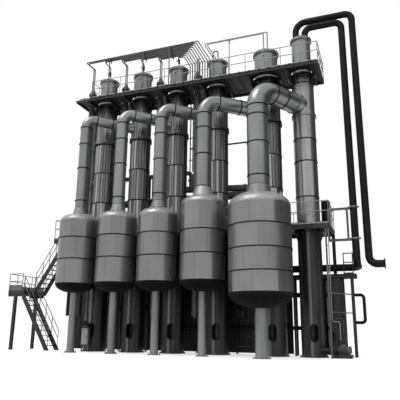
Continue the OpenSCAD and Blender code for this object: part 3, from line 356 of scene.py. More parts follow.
def sheet_tones(t, where, tone, dirt_and_reflection, axis, around, tiers, rare, most, flat, gap, soot=None):
    split, sheet, batch_and_reflection = t.make("SeparateXYZ", "CombineXYZ", "TexWhiteNoise")
    t.wire((where, split.inputs[0]))
    x, y, z = split.outputs
    angle = t.sums("ARCTAN2", t.sums("SUBTRACT", y, axis.y), t.sums("SUBTRACT", x, axis.x))
    tier = t.sums("GREATER_THAN", z, tiers[0])
    for height in tiers[1:]:
        tier = t.sums("ADD", tier, t.sums("GREATER_THAN", z, height))
    shift = t.sums("MULTIPLY", tier, TIER_TURN)
    turn = t.sums("ADD", t.sums("MULTIPLY", angle, around / (2 * math.pi)), shift)
    step = t.sums("FLOOR", turn)
    t.wire((step, sheet.inputs[0]), (tier, sheet.inputs[1]),
           (sheet.outputs[0], batch_and_reflection.inputs["Vector"]))
    # Painted reflection: on the columns the picked sheets are darkened and on the skirts they are
    # lightened, standing for mirrored neighbours and sky. On the separators and the condenser the
    # pick is a random batch tone. The dark band below is a joint on the separators and the
    # condenser, and a painted reflection stripe on the columns and skirts.
    tone = t.blend(t.ramp(batch_and_reflection.outputs["Value"], rare, 1, 0, most), tone, dirt_and_reflection)
    joint = t.sums("LESS_THAN", t.sums("FRACT", turn), gap)
    tone = t.blend(t.sums("MULTIPLY", joint, JOINT_AND_REFLECTION_DARK), tone, NEAR_BLACK)
    # Painted shade: near the deck the top of the lagging is blended towards near black.
    if soot:
        tone = t.blend(t.ramp(z, *soot, 0, DECK_SHADE_DARK), tone, NEAR_BLACK)
    middle = t.sums("SUBTRACT", t.sums("ADD", step, 0.5), shift)
    return tone, facet_normal(t, t.sums("MULTIPLY", middle, 2 * math.pi / around), flat)


def facet_normal(t, angle, flat):
    geometry, face, steep, lean, add, unit = t.make(
        "NewGeometry", "CombineXYZ", "SeparateXYZ", "VectorMath", "VectorMath", "VectorMath")
    lean.operation, add.operation, unit.operation = "SCALE", "ADD", "NORMALIZE"
    normal = geometry.outputs["Normal"]
    t.wire((t.sums("COSINE", angle), face.inputs[0]), (t.sums("SINE", angle), face.inputs[1]),
           (normal, steep.inputs[0]), (face.outputs[0], lean.inputs[0]))
    upright = t.sums("SUBTRACT", 1.0, t.sums("ABSOLUTE", steep.outputs[2]))
    t.wire((t.sums("MULTIPLY", upright, flat), lean.inputs["Scale"]), (normal, add.inputs[0]),
           (lean.outputs[0], add.inputs[1]), (add.outputs[0], unit.inputs[0]))
    return unit.outputs[0]


print("the sheet function is ready")

# %% [markdown]
# ## The greys of the plant
# The lagging is covered with dull sheet metal, the skirts and crossings carry dark grey paint, and
# the cooling-water pipes are black. Rails and boxes have the lightest paint. Metallic values below
# one suit sheet that has weathered dull: it still catches the light, but hides its mirror. Each line
# gives colour and dirt, then metallic, gloss, clouds, streaks, grain and dents.

# %% Finishes by slot
LOOKS = {
    "cladding": ("dull_sheet", (0.26, 0.262, 0.264), 0.14, 0.75, 0.24, 0.14, 0.18, 0.12, 0.008),
    "bare_steel": ("plain_pipe", (0.24, 0.242, 0.244), 0.10, 0.5, 0.34, 0.25, 0.35, 0.2, 0.003),
    "dark_steel": ("dark_grey_paint", (0.035, 0.035, 0.036), (0.070, 0.069, 0.068),
                   0.0, 0.34, 0.35, 0.3, 0.2, 0.003, 0.25),
    "deck_paint": ("deck_grey_paint", (0.13, 0.132, 0.134), 0.06, 0.1, 0.48, 0.3, 0.4, 0.3, 0.003),
    "rail_paint": ("light_rail_paint", (0.36, 0.364, 0.364), 0.17,
                   0.15, 0.42, 0.25, 0.3, 0.25, 0.002),
    "black_paint": ("black_bitumen", 0.009, 0.022, 0.0, 0.52, 0.4, 0.3, 0.2, 0.003, 0.15),
    "box_paint": ("pale_box_enamel", (0.40, 0.404, 0.404), (0.24, 0.24, 0.23),
                  0.05, 0.38, 0.15, 0.3, 0.15, 0.002),
}
FINISHES = {slot: finish(*look) for slot, look in LOOKS.items()}
for part in frame["record"]["subparts"]:
    node = nodes[part["node"]]
    node.data.materials.clear()
    node.data.materials.append(FINISHES[part["material_slot"]])

# %% [markdown]
# A few solids differ from the rest of their slot. The domes are a lighter grey, a painted top light,
# and the undersides of the separators are nearly black, a painted shade. The small pipes and the
# decks are darker, also painted shade. Straps and bolts, which come later, have finishes of their
# own too.

# %% Finishes for single pieces
STRAP = finish("dark_strap", 0.010, 0.03, 0.0, 0.6, 0.3, 0.3, 0.3, 0.002, shine=0.15)
BOLT = finish("bolt_steel", 0.20, (0.08, 0.075, 0.07), 0.5, 0.45, 0.4, 0.5, 0.4, 0.001)
# Painted shade: the undersides of the separators are nearly black.
SHADED_UNDERSIDE = finish("sooty_sheet", 0.016, 0.010, 0.0, 0.60, 0.25, 0.35, 0.2, 0.008, shine=0.05)
# Painted top light: the domes are a lighter grey than the sheets below them.
TOP_LIT_DOME = finish("top_lit_dome", (0.33, 0.332, 0.334), 0.20, 0.6, 0.30, 0.12, 0.2, 0.12, 0.008)
# Painted shade: the small pipes are a darker grey than bare steel.
SHADE_DARK_PIPE = finish("shade_dark_small_pipe", 0.11, 0.05, 0.3, 0.42, 0.3, 0.35, 0.2, 0.002)
# Painted shade: the deck plates and frames are nearly black.
SHADE_DARK_DECK = finish("shade_dark_deck", (0.045, 0.045, 0.046), 0.09,
                   0.0, 0.5, 0.3, 0.35, 0.25, 0.003, shine=0.2)
REPAINTED = [
    (SHADED_UNDERSIDE, ["separator_bottoms"]),
    (TOP_LIT_DOME, ["separator_tops"]),
    (SHADE_DARK_PIPE, ["pipe_bundle", "header_pipe", "preheaters", "rear_risers"]),
    (FINISHES["deck_paint"], ["pipe_bracket"]),
    (SHADE_DARK_DECK, ["upper_deck_plate", "upper_deck_frame", "mid_deck_plate", "mid_deck_frame"]),
]
for paint, names in REPAINTED:
    for name in names:
        nodes[name].data.materials[0] = paint
print("repainted", sum(len(names) for _, names in REPAINTED), "solids")

# %% [markdown]
# ## A small kit for making meshes
# Most of the dressing is tubes, rings, boxes and bolts, many hundreds of them. Blender's own
# primitives would make one object each, and that is slow to handle. So a shape here is only a list
# of corners and a list of faces that the functions below add to, and one object is made at the end.
# Every form that they add is closed, so each piece can also be used as a solid mesh.

# %% Shapes and the skins between rows of corners
class Shape:
    def __init__(self):
        self.corners, self.faces = [], []

    def add(self, corners, faces):
        base = len(self.corners)
        self.corners += [tuple(c) for c in corners]
        self.faces += [tuple(base + i for i in f) for f in faces]


def two_sides(axis):
    axis = Vector(axis).normalized()
    helper = UP if abs(axis.z) < 0.9 else ALONG
    side = helper.cross(axis).normalized()
    return axis, side, axis.cross(side)


def loops(shape, rows, wrap=False):
    """Joins rows of corners, each of the same length, into a closed skin."""
    count, last = len(rows[0]), (len(rows) - 1) * len(rows[0])
    faces = []
    for j in range(len(rows) if wrap else len(rows) - 1):
        a, b = j * count, ((j + 1) % len(rows)) * count
        faces += [(a + i, a + (i + 1) % count, b + (i + 1) % count, b + i) for i in range(count)]
    if not wrap:
        faces += [tuple(reversed(range(count))), tuple(range(last, last + count))]
    shape.add([c for row in rows for c in row], faces)


def circle_row(centre, side, other, r, sides):
    turns = [i * 2 * math.pi / sides for i in range(sides)]
    return [centre + side * (r * math.cos(a)) + other * (r * math.sin(a)) for a in turns]


print("shapes are ready")

# %% [markdown]
# With rows of corners, every round form takes only a few lines. A tube is two circles, a ring is an
# outline that is turned around its axis, and a bent tube has one circle at each point of its line.

# %% Tubes and rings
def tube(shape, a, b, r, sides=12, r_end=None):
    a, b = Vector(a), Vector(b)
    _, side, other = two_sides(b - a)
    ends = ((a, r), (b, r if r_end is None else r_end))
    loops(shape, [circle_row(p, side, other, radius, sides) for p, radius in ends])


def turned(shape, centre, axis, outline, sides, wrap=False):
    """Turns an outline of radii and heights around an axis."""
    axis, side, other = two_sides(axis)
    centre = Vector(centre)
    loops(shape, [circle_row(centre + axis * z, side, other, r, sides) for r, z in outline], wrap)


def ring(shape, centre, axis, r_in, r_out, height, sides=64, soft=0.0):
    """A flat ring whose outer edge is rounded off by soft."""
    outer = [(r_out, 0), (r_out, height)]
    if soft:
        outer = [(r_out - soft, 0), (r_out, soft), (r_out, height - soft), (r_out - soft, height)]
    turned(shape, centre, axis, [(r_in, 0)] + outer + [(r_in, height)], sides, wrap=True)


def bent_tube(shape, points, r, sides=12):
    """A tube through a line of points, turned at each one so that it does not twist."""
    points = [Vector(p) for p in points]
    _, side, _ = two_sides(points[1] - points[0])
    rows = []
    for i, p in enumerate(points):
        ahead = (points[i + 1] - p).normalized() if i < len(points) - 1 else Vector()
        behind = (p - points[i - 1]).normalized() if i else Vector()
        way = (ahead + behind).normalized()
        side = (side - way * side.dot(way)).normalized()
        rows.append(circle_row(p, side, way.cross(side), r, sides))
    loops(shape, rows)


print("round forms are ready")

# %% [markdown]
# A box stands square to the axes. A slab is a box that is turned, so it also serves for plates and
# bars. A bolt is an outline turned in six steps.

# %% Boxes, slabs and bolts
BOX_FACES = [(3, 2, 1, 0), (4, 5, 6, 7), (0, 1, 5, 4), (1, 2, 6, 5), (2, 3, 7, 6), (3, 0, 4, 7)]


def box(shape, low, high):
    (x0, y0, z0), (x1, y1, z1) = low, high
    plan = ((x0, y0), (x1, y0), (x1, y1), (x0, y1))
    shape.add([(x, y, z) for z in (z0, z1) for x, y in plan], BOX_FACES)


def slab(shape, centre, along, across, half):
    """A box that lies along one direction and across another, with half sizes and thickness."""
    along, across = Vector(along).normalized(), Vector(across).normalized()
    a, b, c = along * half[0], across * half[1], along.cross(across) * half[2]
    centre = Vector(centre)
    shape.add([centre + a * i + b * j + c * k for k in (-1, 1) for i, j in square], BOX_FACES)


def bolt(shape, at, axis, across, tall):
    """A hexagon head with a shorter, thinner stud on top."""
    outline = [(across / 2, 0), (across / 2, tall * 0.62), (across * 0.3, tall * 0.66),
               (across * 0.28, tall)]
    turned(shape, at, axis, outline, 6)


def bolt_circle(shape, centre, axis, radius, count, across, tall):
    axis, side, other = two_sides(axis)
    for i in range(count):
        a = (i + 0.5) * 2 * math.pi / count
        out = side * (radius * math.cos(a)) + other * (radius * math.sin(a))
        bolt(shape, Vector(centre) + out, axis, across, tall)


print("flat forms and bolts are ready")

# %% [markdown]
# At the end a shape becomes an object. Its faces are shaded smooth, and edges sharper than the
# given angle stay crisp. Every piece rides on the one body, and its slot picks its finish unless
# one is given.

# %% From a shape to a piece
def piece(name, shape, slot, material=None, smooth=35, soften=0.0):
    mesh = bpy.data.meshes.new(name)
    mesh.from_pydata(shape.corners, [], shape.faces)
    mesh.materials.append(material or FINISHES[slot])
    mesh.shade_smooth()
    mesh.set_sharp_from_angle(angle=math.radians(smooth))
    made = bpy.data.objects.new(name, mesh)
    bpy.context.scene.collection.objects.link(made)
    if soften:
        edge = made.modifiers.new("soft_edges", "BEVEL")
        edge.width, edge.segments, edge.limit_method = soften, 2, "ANGLE"
    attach(made, "root")
    print(f"{name}: {len(mesh.polygons)} faces")
    return made


print("pieces can be made")

# %% [markdown]
# ## Straps around the lagging
# Dark steel straps hold the sheets of the lagging. In the photograph they are the thin dark lines
# that ring every column, separator and duct, and they stand out a little at the outline. A strap
# could be painted on, but from the side it would vanish, so each one is a ring with soft edges,
# with a buckle plate and two bolts where its ends meet.

# %% Straps on the upright pieces
COLUMN_STRAPS = [MID_Z + u * (COLUMN_FLANGE - MID_Z) for u in (0.357, 0.668)]
CONDENSER_STRAPS = [MID_Z + u * (CONDENSER_FLANGE - MID_Z) for u in (0.251, 0.568, 0.772)]
CONDENSER_STRAPS += [DUCT_Z + DUCT_D[4] / 2 + 0.6]
SEPARATOR_SHARES = [(0.375, 0.717)] * 4 + [(0.228, 0.484, 0.752)]
separator_tiers = [[s["z0"] + u * (s["z1"] - s["z0"]) for u in shares]
                   for s, shares in zip(separators, SEPARATOR_SHARES)]
STRAP_H, STRAP_IN, STRAP_PROUD, STRAP_SIDES, STRAP_SOFT = 0.056, 0.003, 0.025, 72, 0.006
LOWER_RING, RING_PROUD, RING_H = 0.17, 0.075, 0.05
BUCKLE_SIDE = Vector((-0.75, -0.66, 0))
straps = Shape()


def strap(centre, axis, r, buckle=True):
    axis = Vector(axis).normalized()
    ring(straps, centre - axis * (STRAP_H / 2), axis, r - STRAP_IN, r + STRAP_PROUD, STRAP_H,
         STRAP_SIDES, STRAP_SOFT)
    if buckle:
        out = BUCKLE_SIDE.normalized()
        along = axis.cross(out)
        slab(straps, centre + out * (r + 0.027), along, axis, (0.055, 0.03, 0.008))
        for s in (-1, 1):
            bolt(straps, centre + out * (r + 0.034) + along * (s * 0.03), out, 0.022, 0.022)


strap_heights = [COLUMN_STRAPS] * 5 + [CONDENSER_STRAPS] + separator_tiers
for shell, heights in zip(columns + separators, strap_heights):
    for z in heights:
        strap(on_axis(shell, z), UP, shell["r"])
for c in columns[:5]:
    ring(straps, on_axis(c, COLUMN_FLANGE - LOWER_RING), UP, c["r"] - STRAP_IN,
         c["r"] + RING_PROUD, RING_H, STRAP_SIDES, STRAP_SOFT)
print("upright straps placed")

# %% [markdown]
# The ducts rise from the separators, turn over and run almost level to the next column. The middle
# of the bend and the fall of the level run follow from the two axes that each duct joins.

# %% Straps on the ducts
DUCT_FALL, BEND_SHARE = math.radians(2.5), 0.95
DUCT_SHARES = [(0.199, 0.508, 0.744)] * 4 + [(0.244, 0.52, 0.754)]
RUN_STRAPS = [(0.003, seam + 0.0225) for seam in (0.9, 0.9, 0.9, 1.2, 0.7)]
ducts = []
for s, c, wide, shares in zip(separators, columns[1:], DUCT_D, DUCT_SHARES):
    way = Vector((c["x"] - s["x"], c["y"] - s["y"], 0)).normalized()
    bend = BEND_SHARE * wide
    start = on_axis(s, DUCT_Z - bend + bend * math.cos(DUCT_FALL))
    ducts.append({"x": s["x"], "y": s["y"], "r": wide / 2, "bend": bend, "z0": s["z1"],
                  "top": start + way * (bend * (1 + math.sin(DUCT_FALL))),
                  "run": way * math.cos(DUCT_FALL) - Vector((0, 0, math.sin(DUCT_FALL))),
                  "tiers": [s["z1"] + u * (DUCT_Z - s["z1"]) for u in shares]})
for d, places in zip(ducts, RUN_STRAPS):
    for z in d["tiers"]:
        strap(on_axis(d, z), UP, d["r"])
    strap(on_axis(d, DUCT_Z - d["bend"]), UP, d["r"], buckle=False)
    for along in places:
        strap(d["top"] + d["run"] * along, d["run"], d["r"], buckle=False)
piece("dark_straps", straps, "dark_steel", STRAP)

# %% [markdown]
# ## Railings
# The solids have flat railing panels, which is all that a collision model needs. Real rails are
# round tube with a post every metre, so each panel is drawn again in tube, inside the panel's own
# thickness.

# %% Round rails on the upper deck
RAIL_R, RAIL_H, MID_SHARE, RAILS_FROM, RAIL_IN = 0.021, 1.15, 0.541, 0.47, 0.024
rails = Shape()


def rail_run(a, b, bays, height=RAIL_H, toe=0.06):
    a, b = Vector(a), Vector(b)
    for i in range(bays + 1):
        foot = a.lerp(b, i / bays)
        tube(rails, foot, foot + UP * (height - RAIL_R), RAIL_R * 0.95)
        ring(rails, foot, UP, RAIL_R * 0.5, RAIL_R * 2.2, 0.012, 12)
    for h in (height - RAIL_R, height * MID_SHARE):
        tube(rails, a + UP * h, b + UP * h, RAIL_R)
    half = ((b - a).length / 2, toe / 2, 0.005)
    slab(rails, a.lerp(b, 0.5) + UP * toe / 2, b - a, UP, half)


def deck_corners(low, high):
    return low.x + RAIL_IN, low.y + RAIL_IN, high.x - RAIL_IN, high.y - RAIL_IN


_, y0, x1, y1 = deck_corners(deck_low, deck_high)
x0 = col_x(0, -RAILS_FROM)
for xa, ya, xb, yb, bays in ((x0, y0, x1, y0, 14), (x0, y1, x1, y1, 14),
                             (x0, y0, x0, y1, 3), (x1, y0, x1, y1, 3)):
    rail_run((xa, ya, DECK_Z), (xb, yb, DECK_Z), bays)
upper_rails = piece("upper_round_rails", rails, "rail_paint")
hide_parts("upper_deck_rails")

# %% [markdown]
# The middle deck's railing leaves a gap at the left end, where the stair arrives.

# %% Round rails on the middle deck
FLIGHT_STEP = 1.02
rails = Shape()
x0, y0, x1, y1 = deck_corners(mid_low, mid_high)
gate_low, gate_high = AXIS_Y - RAIL_IN * 4, AXIS_Y + FLIGHT_STEP + RAIL_IN
for xa, ya, xb, yb, bays in ((x0, y0, x1, y0, 15), (x0, y1, x1, y1, 15), (x1, y0, x1, y1, 3),
                             (x0, y0, x0, gate_low, 1), (x0, gate_high, x0, y1, 1)):
    rail_run((xa, ya, MID_Z), (xb, yb, MID_Z), bays)
mid_rails = piece("mid_round_rails", rails, "rail_paint")
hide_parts("mid_deck_rails")

# %% [markdown]
# The stair has two flights side by side, joined by a landing at half height. Its handrails follow
# the slope of the stringers, so a run of rail is drawn from the foot of the slope to its head.

# %% Round rails on the stair
STAIR_RAIL_H, KICK_H, SLOPE, RAIL_DROP = 1.0, 0.33, math.radians(57.5), 0.03
SLOPE_BAYS, SLOPE_INSET = 4, 0.085
rails = Shape()
land_low, land_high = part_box("stair_landing")
LAND_Z = land_high.z
lower_run, upper_run = LAND_Z / math.tan(SLOPE), (MID_Z - LAND_Z) / math.tan(SLOPE)


def slope_rail(a, b):
    a, b = Vector(a), Vector(b)
    share = SLOPE_INSET / abs(b.x - a.x)
    foot, head = a.lerp(b, share), a.lerp(b, 1 - share)
    for i in range(SLOPE_BAYS + 1):
        p = foot.lerp(head, i / SLOPE_BAYS)
        tube(rails, p + UP * 0.062, p + UP * (STAIR_RAIL_H - RAIL_DROP), RAIL_R * 0.95)
    for h in (STAIR_RAIL_H - RAIL_DROP, STAIR_RAIL_H * 0.55 - RAIL_DROP):
        tube(rails, foot + UP * h, head + UP * h, RAIL_R)


for y in [land_low.y + 0.04 + s * 0.94 for s in (0, 1)]:
    x = land_high.x
    slope_rail((x + lower_run, y, 0), (x, y, LAND_Z))
    slope_rail((x, y + FLIGHT_STEP, LAND_Z), (x + upper_run, y + FLIGHT_STEP, MID_Z))
x0, y0, x1, y1 = deck_corners(land_low, land_high)
x1 -= 0.02
for xa, ya, xb, yb, bays in ((x0, y0, x0, y1, 3), (x0, y0, x1, y0, 1), (x0, y1, x1, y1, 1)):
    rail_run((xa, ya, LAND_Z), (xb, yb, LAND_Z), bays, STAIR_RAIL_H, KICK_H)
stair_tubes = piece("stair_round_rails", rails, "rail_paint", FINISHES["deck_paint"])
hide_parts("stair_rails")

# %% [markdown]
# ## Lapped sheets
# Each column, separator and skirt needs a sheet finish of its own, with its axis and its tiers in
# it. The columns are brighter metal than the separators. Their upright stripes are painted
# reflections of their neighbours: dark sheets and wide dark bands in the colour.

# %% Sheets on columns, separators and skirts
COLUMN_SHEETS, CONDENSER_SHEETS, SEPARATOR_SHEETS, SKIRT_REFLECTION_STRIPES = 24, 12, 8, 26
column_tiers = [COLUMN_STRAPS + [COLUMN_FLANGE]] * 5 + [CONDENSER_STRAPS]
SHINY = dict(metallic=0.85, gloss=0.20, clouds=0.15, streaks=0.12, grain=0.1, dents=0.008)
DULL = dict(metallic=0.75, gloss=0.22, clouds=0.14, streaks=0.22, grain=0.05, dents=0.005)
DARK = dict(metallic=0.55, gloss=0.26, clouds=0.3, streaks=0.06, grain=0.15, dents=0.003)


def sheeted(names, shells, tiers, look, colour, dirt_and_reflection, **sheets):
    for name, shell, heights in zip(names, shells, tiers):
        own_sheets = dict(sheets, axis=on_axis(shell, 0), tiers=heights)
        own = finish("sheets_of_" + name, colour, dirt_and_reflection, sheets=own_sheets, **look)
        nodes[name].data.materials[0] = own


# Painted reflection: the darkened sheets and the wide dark bands stand for the neighbouring columns.
# The last range is painted shade under the deck.
sheeted(COLUMNS[:5], columns, column_tiers, SHINY, 0.42, 0.03, around=COLUMN_SHEETS,
        rare=0.3, most=0.9, flat=2.0, gap=0.28, soot=(DECK_Z - 1.6, DECK_Z - 0.7))
sheeted(SEPARATORS, separators, separator_tiers, DULL, 0.25, 0.14, around=SEPARATOR_SHEETS,
        rare=0.0, most=0.3, flat=0.3, gap=0.006)
# Painted reflection: the lighter stripes on the near-black skirts stand for bright sky mirrored in
# the paint.
sheeted(SKIRTS, columns, [[MID_Z]] * 6, DARK, 0.028, 0.26, around=SKIRT_REFLECTION_STRIPES,
        rare=0.5, most=0.5, flat=0.3, gap=0.1)
# The condenser also gets painted shade under the deck.
sheeted(COLUMNS[5:], columns[5:], column_tiers[5:], SHINY, 0.36, 0.10, around=CONDENSER_SHEETS,
        rare=0.5, most=0.5, flat=0.4, gap=0.03, soot=(DECK_Z - 1.3, DECK_Z - 0.4))
print("sheeted", len(COLUMNS) + len(SEPARATORS) + len(SKIRTS), "shells")

# %% [markdown]
# Where two sheets lap, a narrow strip with a row of screws closes the joint. On the separators the
# strips follow the same angles and tiers as the tones in the shader. The columns have fewer strips
# than sheets.

# %% Seam strips and screws
SEAM_HALF, SEAM_T, SEAM_END, SCREW_STEP, SCREW_END = 0.022, 0.004, 0.06, 0.26, 0.05
DUCT_SHEETS, FLARE_END = 3, 0.40
seams, separator_seams, screws = Shape(), Shape(), Shape()


def seam(shape, shell, angle, z0, z1):
    r, out = shell["r"], Vector((math.cos(angle), math.sin(angle), 0))
    half = ((z1 - z0) / 2, SEAM_HALF, SEAM_T)
    slab(shape, on_axis(shell, (z0 + z1) / 2) + out * r, UP, out.cross(UP), half)
    length = z1 - z0 - 2 * SCREW_END
    count = max(1, round(length / SCREW_STEP))
    for k in range(count + 1):
        at = on_axis(shell, z0 + SCREW_END + k * length / count)
        bolt(screws, at + out * (r + SEAM_T - 0.001), out, 0.018, 0.010)


def shell_seams(shape, shell, around, tiers, low, high):
    edges = [low] + [z for z in tiers if low < z < high] + [high]
    for z0, z1 in zip(edges, edges[1:]):
        tier = sum(1 for z in tiers if z < (z0 + z1) / 2)
        for k in range(around):
            angle = (k - TIER_TURN * tier) * 2 * math.pi / around
            seam(shape, shell, angle, z0 + SEAM_END, z1 - SEAM_END)


for c, tiers in zip(columns, column_tiers):
    shell_seams(seams, c, COLUMN_SHEETS // 4, tiers, MID_Z + 0.02, c["z1"] - 0.5)
for s, d, tiers in zip(separators, ducts, separator_tiers):
    shell_seams(separator_seams, s, SEPARATOR_SHEETS, tiers, s["z0"], s["z1"])
    flare_top = d["z0"] + DISH_SHARE * s["r"] + FLARE_END
    shell_seams(seams, d, DUCT_SHEETS, d["tiers"], flare_top, DUCT_Z - d["bend"])
SEAM_DULL = finish("dull_seam", (0.20, 0.202, 0.204), 0.10, **DULL)
piece("sheet_seams", seams, "cladding", smooth=20)
piece("separator_seams", separator_seams, "cladding", SEAM_DULL, 20)
piece("sheet_screws", screws, "bare_steel", BOLT, 25)

# %% [markdown]
# ## Flanges and their bolts
# Every head, column joint and pipe end is a pair of flanges held by a ring of bolts. At this size
# the bolts are the detail that tells the eye how big the plant is. All of them go into one mesh:
# a hexagon head with a shorter stud on top is enough, above the upper flange and below the lower.

# %% Bolt rings
HEAD_STEP, HEAD_RISE, CONDENSER_RISE = 0.15, 1.5, 1.98
POT_D, POT_RISE, LEG_D = 0.38, 0.88, [0.40] * 4 + [0.59]
COOL_D, COOL_Z = 0.36, MID_Z - 2.3 + 0.35
bolts = Shape()


def flange_bolts(x, y, z_top, z_under, radius, count, across):
    for z, way in ((z_top, UP), (z_under, -UP)):
        bolt_circle(bolts, (x, y, z), way, radius, count, across, across)


joints = [COLUMN_FLANGE] * 5 + [CONDENSER_FLANGE]
heads = [DECK_Z + HEAD_RISE] * 5 + [DECK_Z + CONDENSER_RISE]
for c, joint, head in zip(columns, joints, heads):
    x, y, r = c["x"], c["y"], c["r"]
    flange_bolts(x, y, joint + 0.055, joint - 0.055, r + 0.036, 28, 0.034)
    flange_bolts(x, y, head + 0.07, head - 0.06, r - HEAD_STEP / 2 + 0.052, 24, 0.038)
    bolt_circle(bolts, (x, y, 0.04), UP, r + 0.05, 14, 0.046, 0.06)
pots_x = [col_x(0, -(columns[1]["x"] - columns[0]["x"]) / 2)]
pots_x += [(columns[i]["x"] + columns[i + 1]["x"]) / 2 for i in range(3)]
pot_top = DECK_Z + POT_RISE
for x in pots_x:
    flange_bolts(x, AXIS_Y, pot_top + 0.068, pot_top - 0.06, POT_D / 2 + 0.036, 10, 0.03)
    bolt_circle(bolts, (x, AXIS_Y, MID_Z + 0.04), UP, POT_D / 2 + 0.04, 8, 0.03, 0.03)
for s, d in zip(separators, LEG_D):
    bolt_circle(bolts, on_axis(s, 0.03), UP, d / 2 + 0.07, 10, 0.04, 0.05)
end_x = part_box("cooling_return")[1].x
for x, way in ((end_x, ALONG), (end_x - 0.04, -ALONG)):
    bolt_circle(bolts, (x, AXIS_Y, COOL_Z), way, COOL_D / 2 + 0.038, 12, 0.03, 0.02)
piece("flange_bolts", bolts, "bare_steel", BOLT, 25)

# %% [markdown]
# ## Treads of bar grating
# The steps of an outdoor stair are open grating, so that rain and snow fall through. Each tread is
# a frame of flat bars on edge, tied by thin cross rods, with a broader nosing at its front. From
# below one sees daylight through them, which a plain plate would hide.

# %% Grating treads
LOWER_RISERS, UPPER_RISERS = 12, 11
TREAD_DEEP, TREAD_WIDE, TREAD_TALL = 0.22, 0.90, 0.035
BARS, RODS, BAR_T, NOSE_HALF = 8, 9, 0.006, 0.014
treads = Shape()


def grating_tread(x, y, z, nose):
    for i in range(BARS):
        bx = x + i * (TREAD_DEEP - BAR_T) / (BARS - 1)
        box(treads, (bx, y, z - TREAD_TALL), (bx + BAR_T, y + TREAD_WIDE, z))
    for j in range(RODS):
        ry = y + (j + 0.5) * TREAD_WIDE / RODS
        box(treads, (x, ry - 0.004, z - 0.012), (x + TREAD_DEEP, ry + 0.004, z - 0.002))
    for ey in (y, y + TREAD_WIDE - BAR_T):
        box(treads, (x, ey, z - TREAD_TALL - 0.02), (x + TREAD_DEEP, ey + BAR_T, z))
    box(treads, (nose - NOSE_HALF, y, z - 0.03), (nose + NOSE_HALF, y + TREAD_WIDE, z + 0.002))


tread_y = land_low.y + 0.06
for k in range(1, LOWER_RISERS):
    x = land_high.x + lower_run - (k + 0.25) * lower_run / LOWER_RISERS - TREAD_DEEP / 2
    grating_tread(x, tread_y, k * LAND_Z / LOWER_RISERS, x + TREAD_DEEP - NOSE_HALF)
for k in range(1, UPPER_RISERS):
    x = land_high.x + (k + 0.25) * upper_run / UPPER_RISERS - TREAD_DEEP / 2
    z = LAND_Z + k * (MID_Z - LAND_Z) / UPPER_RISERS
    grating_tread(x, tread_y + FLIGHT_STEP, z, x + NOSE_HALF)
steps = piece("grating_treads", treads, "dark_steel", smooth=20)
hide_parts("treads")

# %% [markdown]
# ## Rims of the access holes
# A long hole in each skirt lets a fitter reach the drain at the foot of the column. Its cut edge
# carries a rim of bent bar. The rim has to lie on a curved wall, so its line is drawn flat first,
# and each point is then wrapped around the skirt by its angle.

# %% Rims
HOLE_HALF, HOLE_H, HOLE_SILL, HOLE_TURN, RIM_R = 0.20, 0.82, 0.70, math.radians(12 - 90), 0.02
rims = Shape()


def closed_tube(shape, points, axis, r, sides=8):
    rows = []
    for i, p in enumerate(points):
        way = (points[(i + 1) % len(points)] - points[i - 1]).normalized()
        out = Vector((p.x - axis.x, p.y - axis.y, 0)).normalized()
        side = (out - way * out.dot(way)).normalized()
        rows.append(circle_row(p, side, way.cross(side), r, sides))
    loops(shape, rows, wrap=True)


flat_line = []
for end, start in ((HOLE_SILL + HOLE_H - HOLE_HALF, 0), (HOLE_SILL + HOLE_HALF, 180)):
    turns = [math.radians(start + a) for a in range(0, 181, 12)]
    flat_line += [(HOLE_HALF * math.cos(a), end + HOLE_HALF * math.sin(a)) for a in turns]
for c in columns:
    wrapped = []
    for across, z in flat_line:
        a = HOLE_TURN + math.asin(across / c["r"])
        wrapped.append(on_axis(c, z) + Vector((math.cos(a), math.sin(a), 0)) * c["r"])
    closed_tube(rims, wrapped, on_axis(c, 0), RIM_R)
piece("access_hole_rims", rims, "dark_steel")

# %% [markdown]
# ## Welds on the domes
# Where the flared foot of a duct meets the dome of its separator, a dark weld shows. The radius of
# that line isn't known beforehand, because the cone and the oval dome meet somewhere between. A few
# steps of bisection find the height at which both have the same radius.

# %% Weld lines where ducts leave the domes
FLARE, FLARE_RISE, FLARE_FOOT, BISECTIONS = 0.21, 0.33, 0.02, 40
welds = Shape()
for s, d in zip(separators, ducts):
    h = DISH_SHARE * s["r"]
    low, high = FLARE_FOOT, h
    for _ in range(BISECTIONS):
        z = (low + high) / 2
        cone = d["r"] + FLARE * (1 - (z - FLARE_FOOT) / (h + FLARE_RISE))
        dome = s["r"] * math.sqrt(max(0, 1 - (z / h) ** 2))
        low, high = (z, high) if dome > cone else (low, z)
    ring(welds, on_axis(s, s["z1"] + z - 0.012), UP, cone - 0.03, cone + 0.016, 0.026, 64, 0.008)
    neck_z, neck_r = s["z1"] + h + FLARE_RISE + 0.01, d["r"] + 0.004
    ring(welds, on_axis(s, neck_z), UP, neck_r - 0.02, neck_r + 0.004, 0.018, 64, 0.004)
piece("dome_welds", welds, "dark_steel", STRAP)

# %% [markdown]
# ## Under the decks
# From the ground one mostly sees the decks from below: plates on cross-beams, stiffened with flat
# ribs. The ribs keep clear of the heads and pots that pass through the deck.

# %% Ribs under both decks
RIB_STEP, RIB_DEEP, RIB_T, RIB_END, RIB_ROOM = 0.48, 0.07, 0.010, 0.08, 0.11
ribs = Shape()
passing = [(c["x"], c["r"]) for c in columns] + [(x, POT_D / 2 + 0.03) for x in pots_x]
for low, high in ((deck_low, deck_high), (mid_low, mid_high)):
    count = int((high.x - low.x) / RIB_STEP)
    for k in range(1, count):
        x = low.x + k * (high.x - low.x) / count
        if all(abs(x - px) > pr + RIB_ROOM for px, pr in passing):
            box(ribs, (x - RIB_T / 2, low.y + RIB_END, low.z - RIB_DEEP),
                (x + RIB_T / 2, high.y - RIB_END, low.z))
piece("deck_ribs", ribs, "deck_paint", smooth=20)

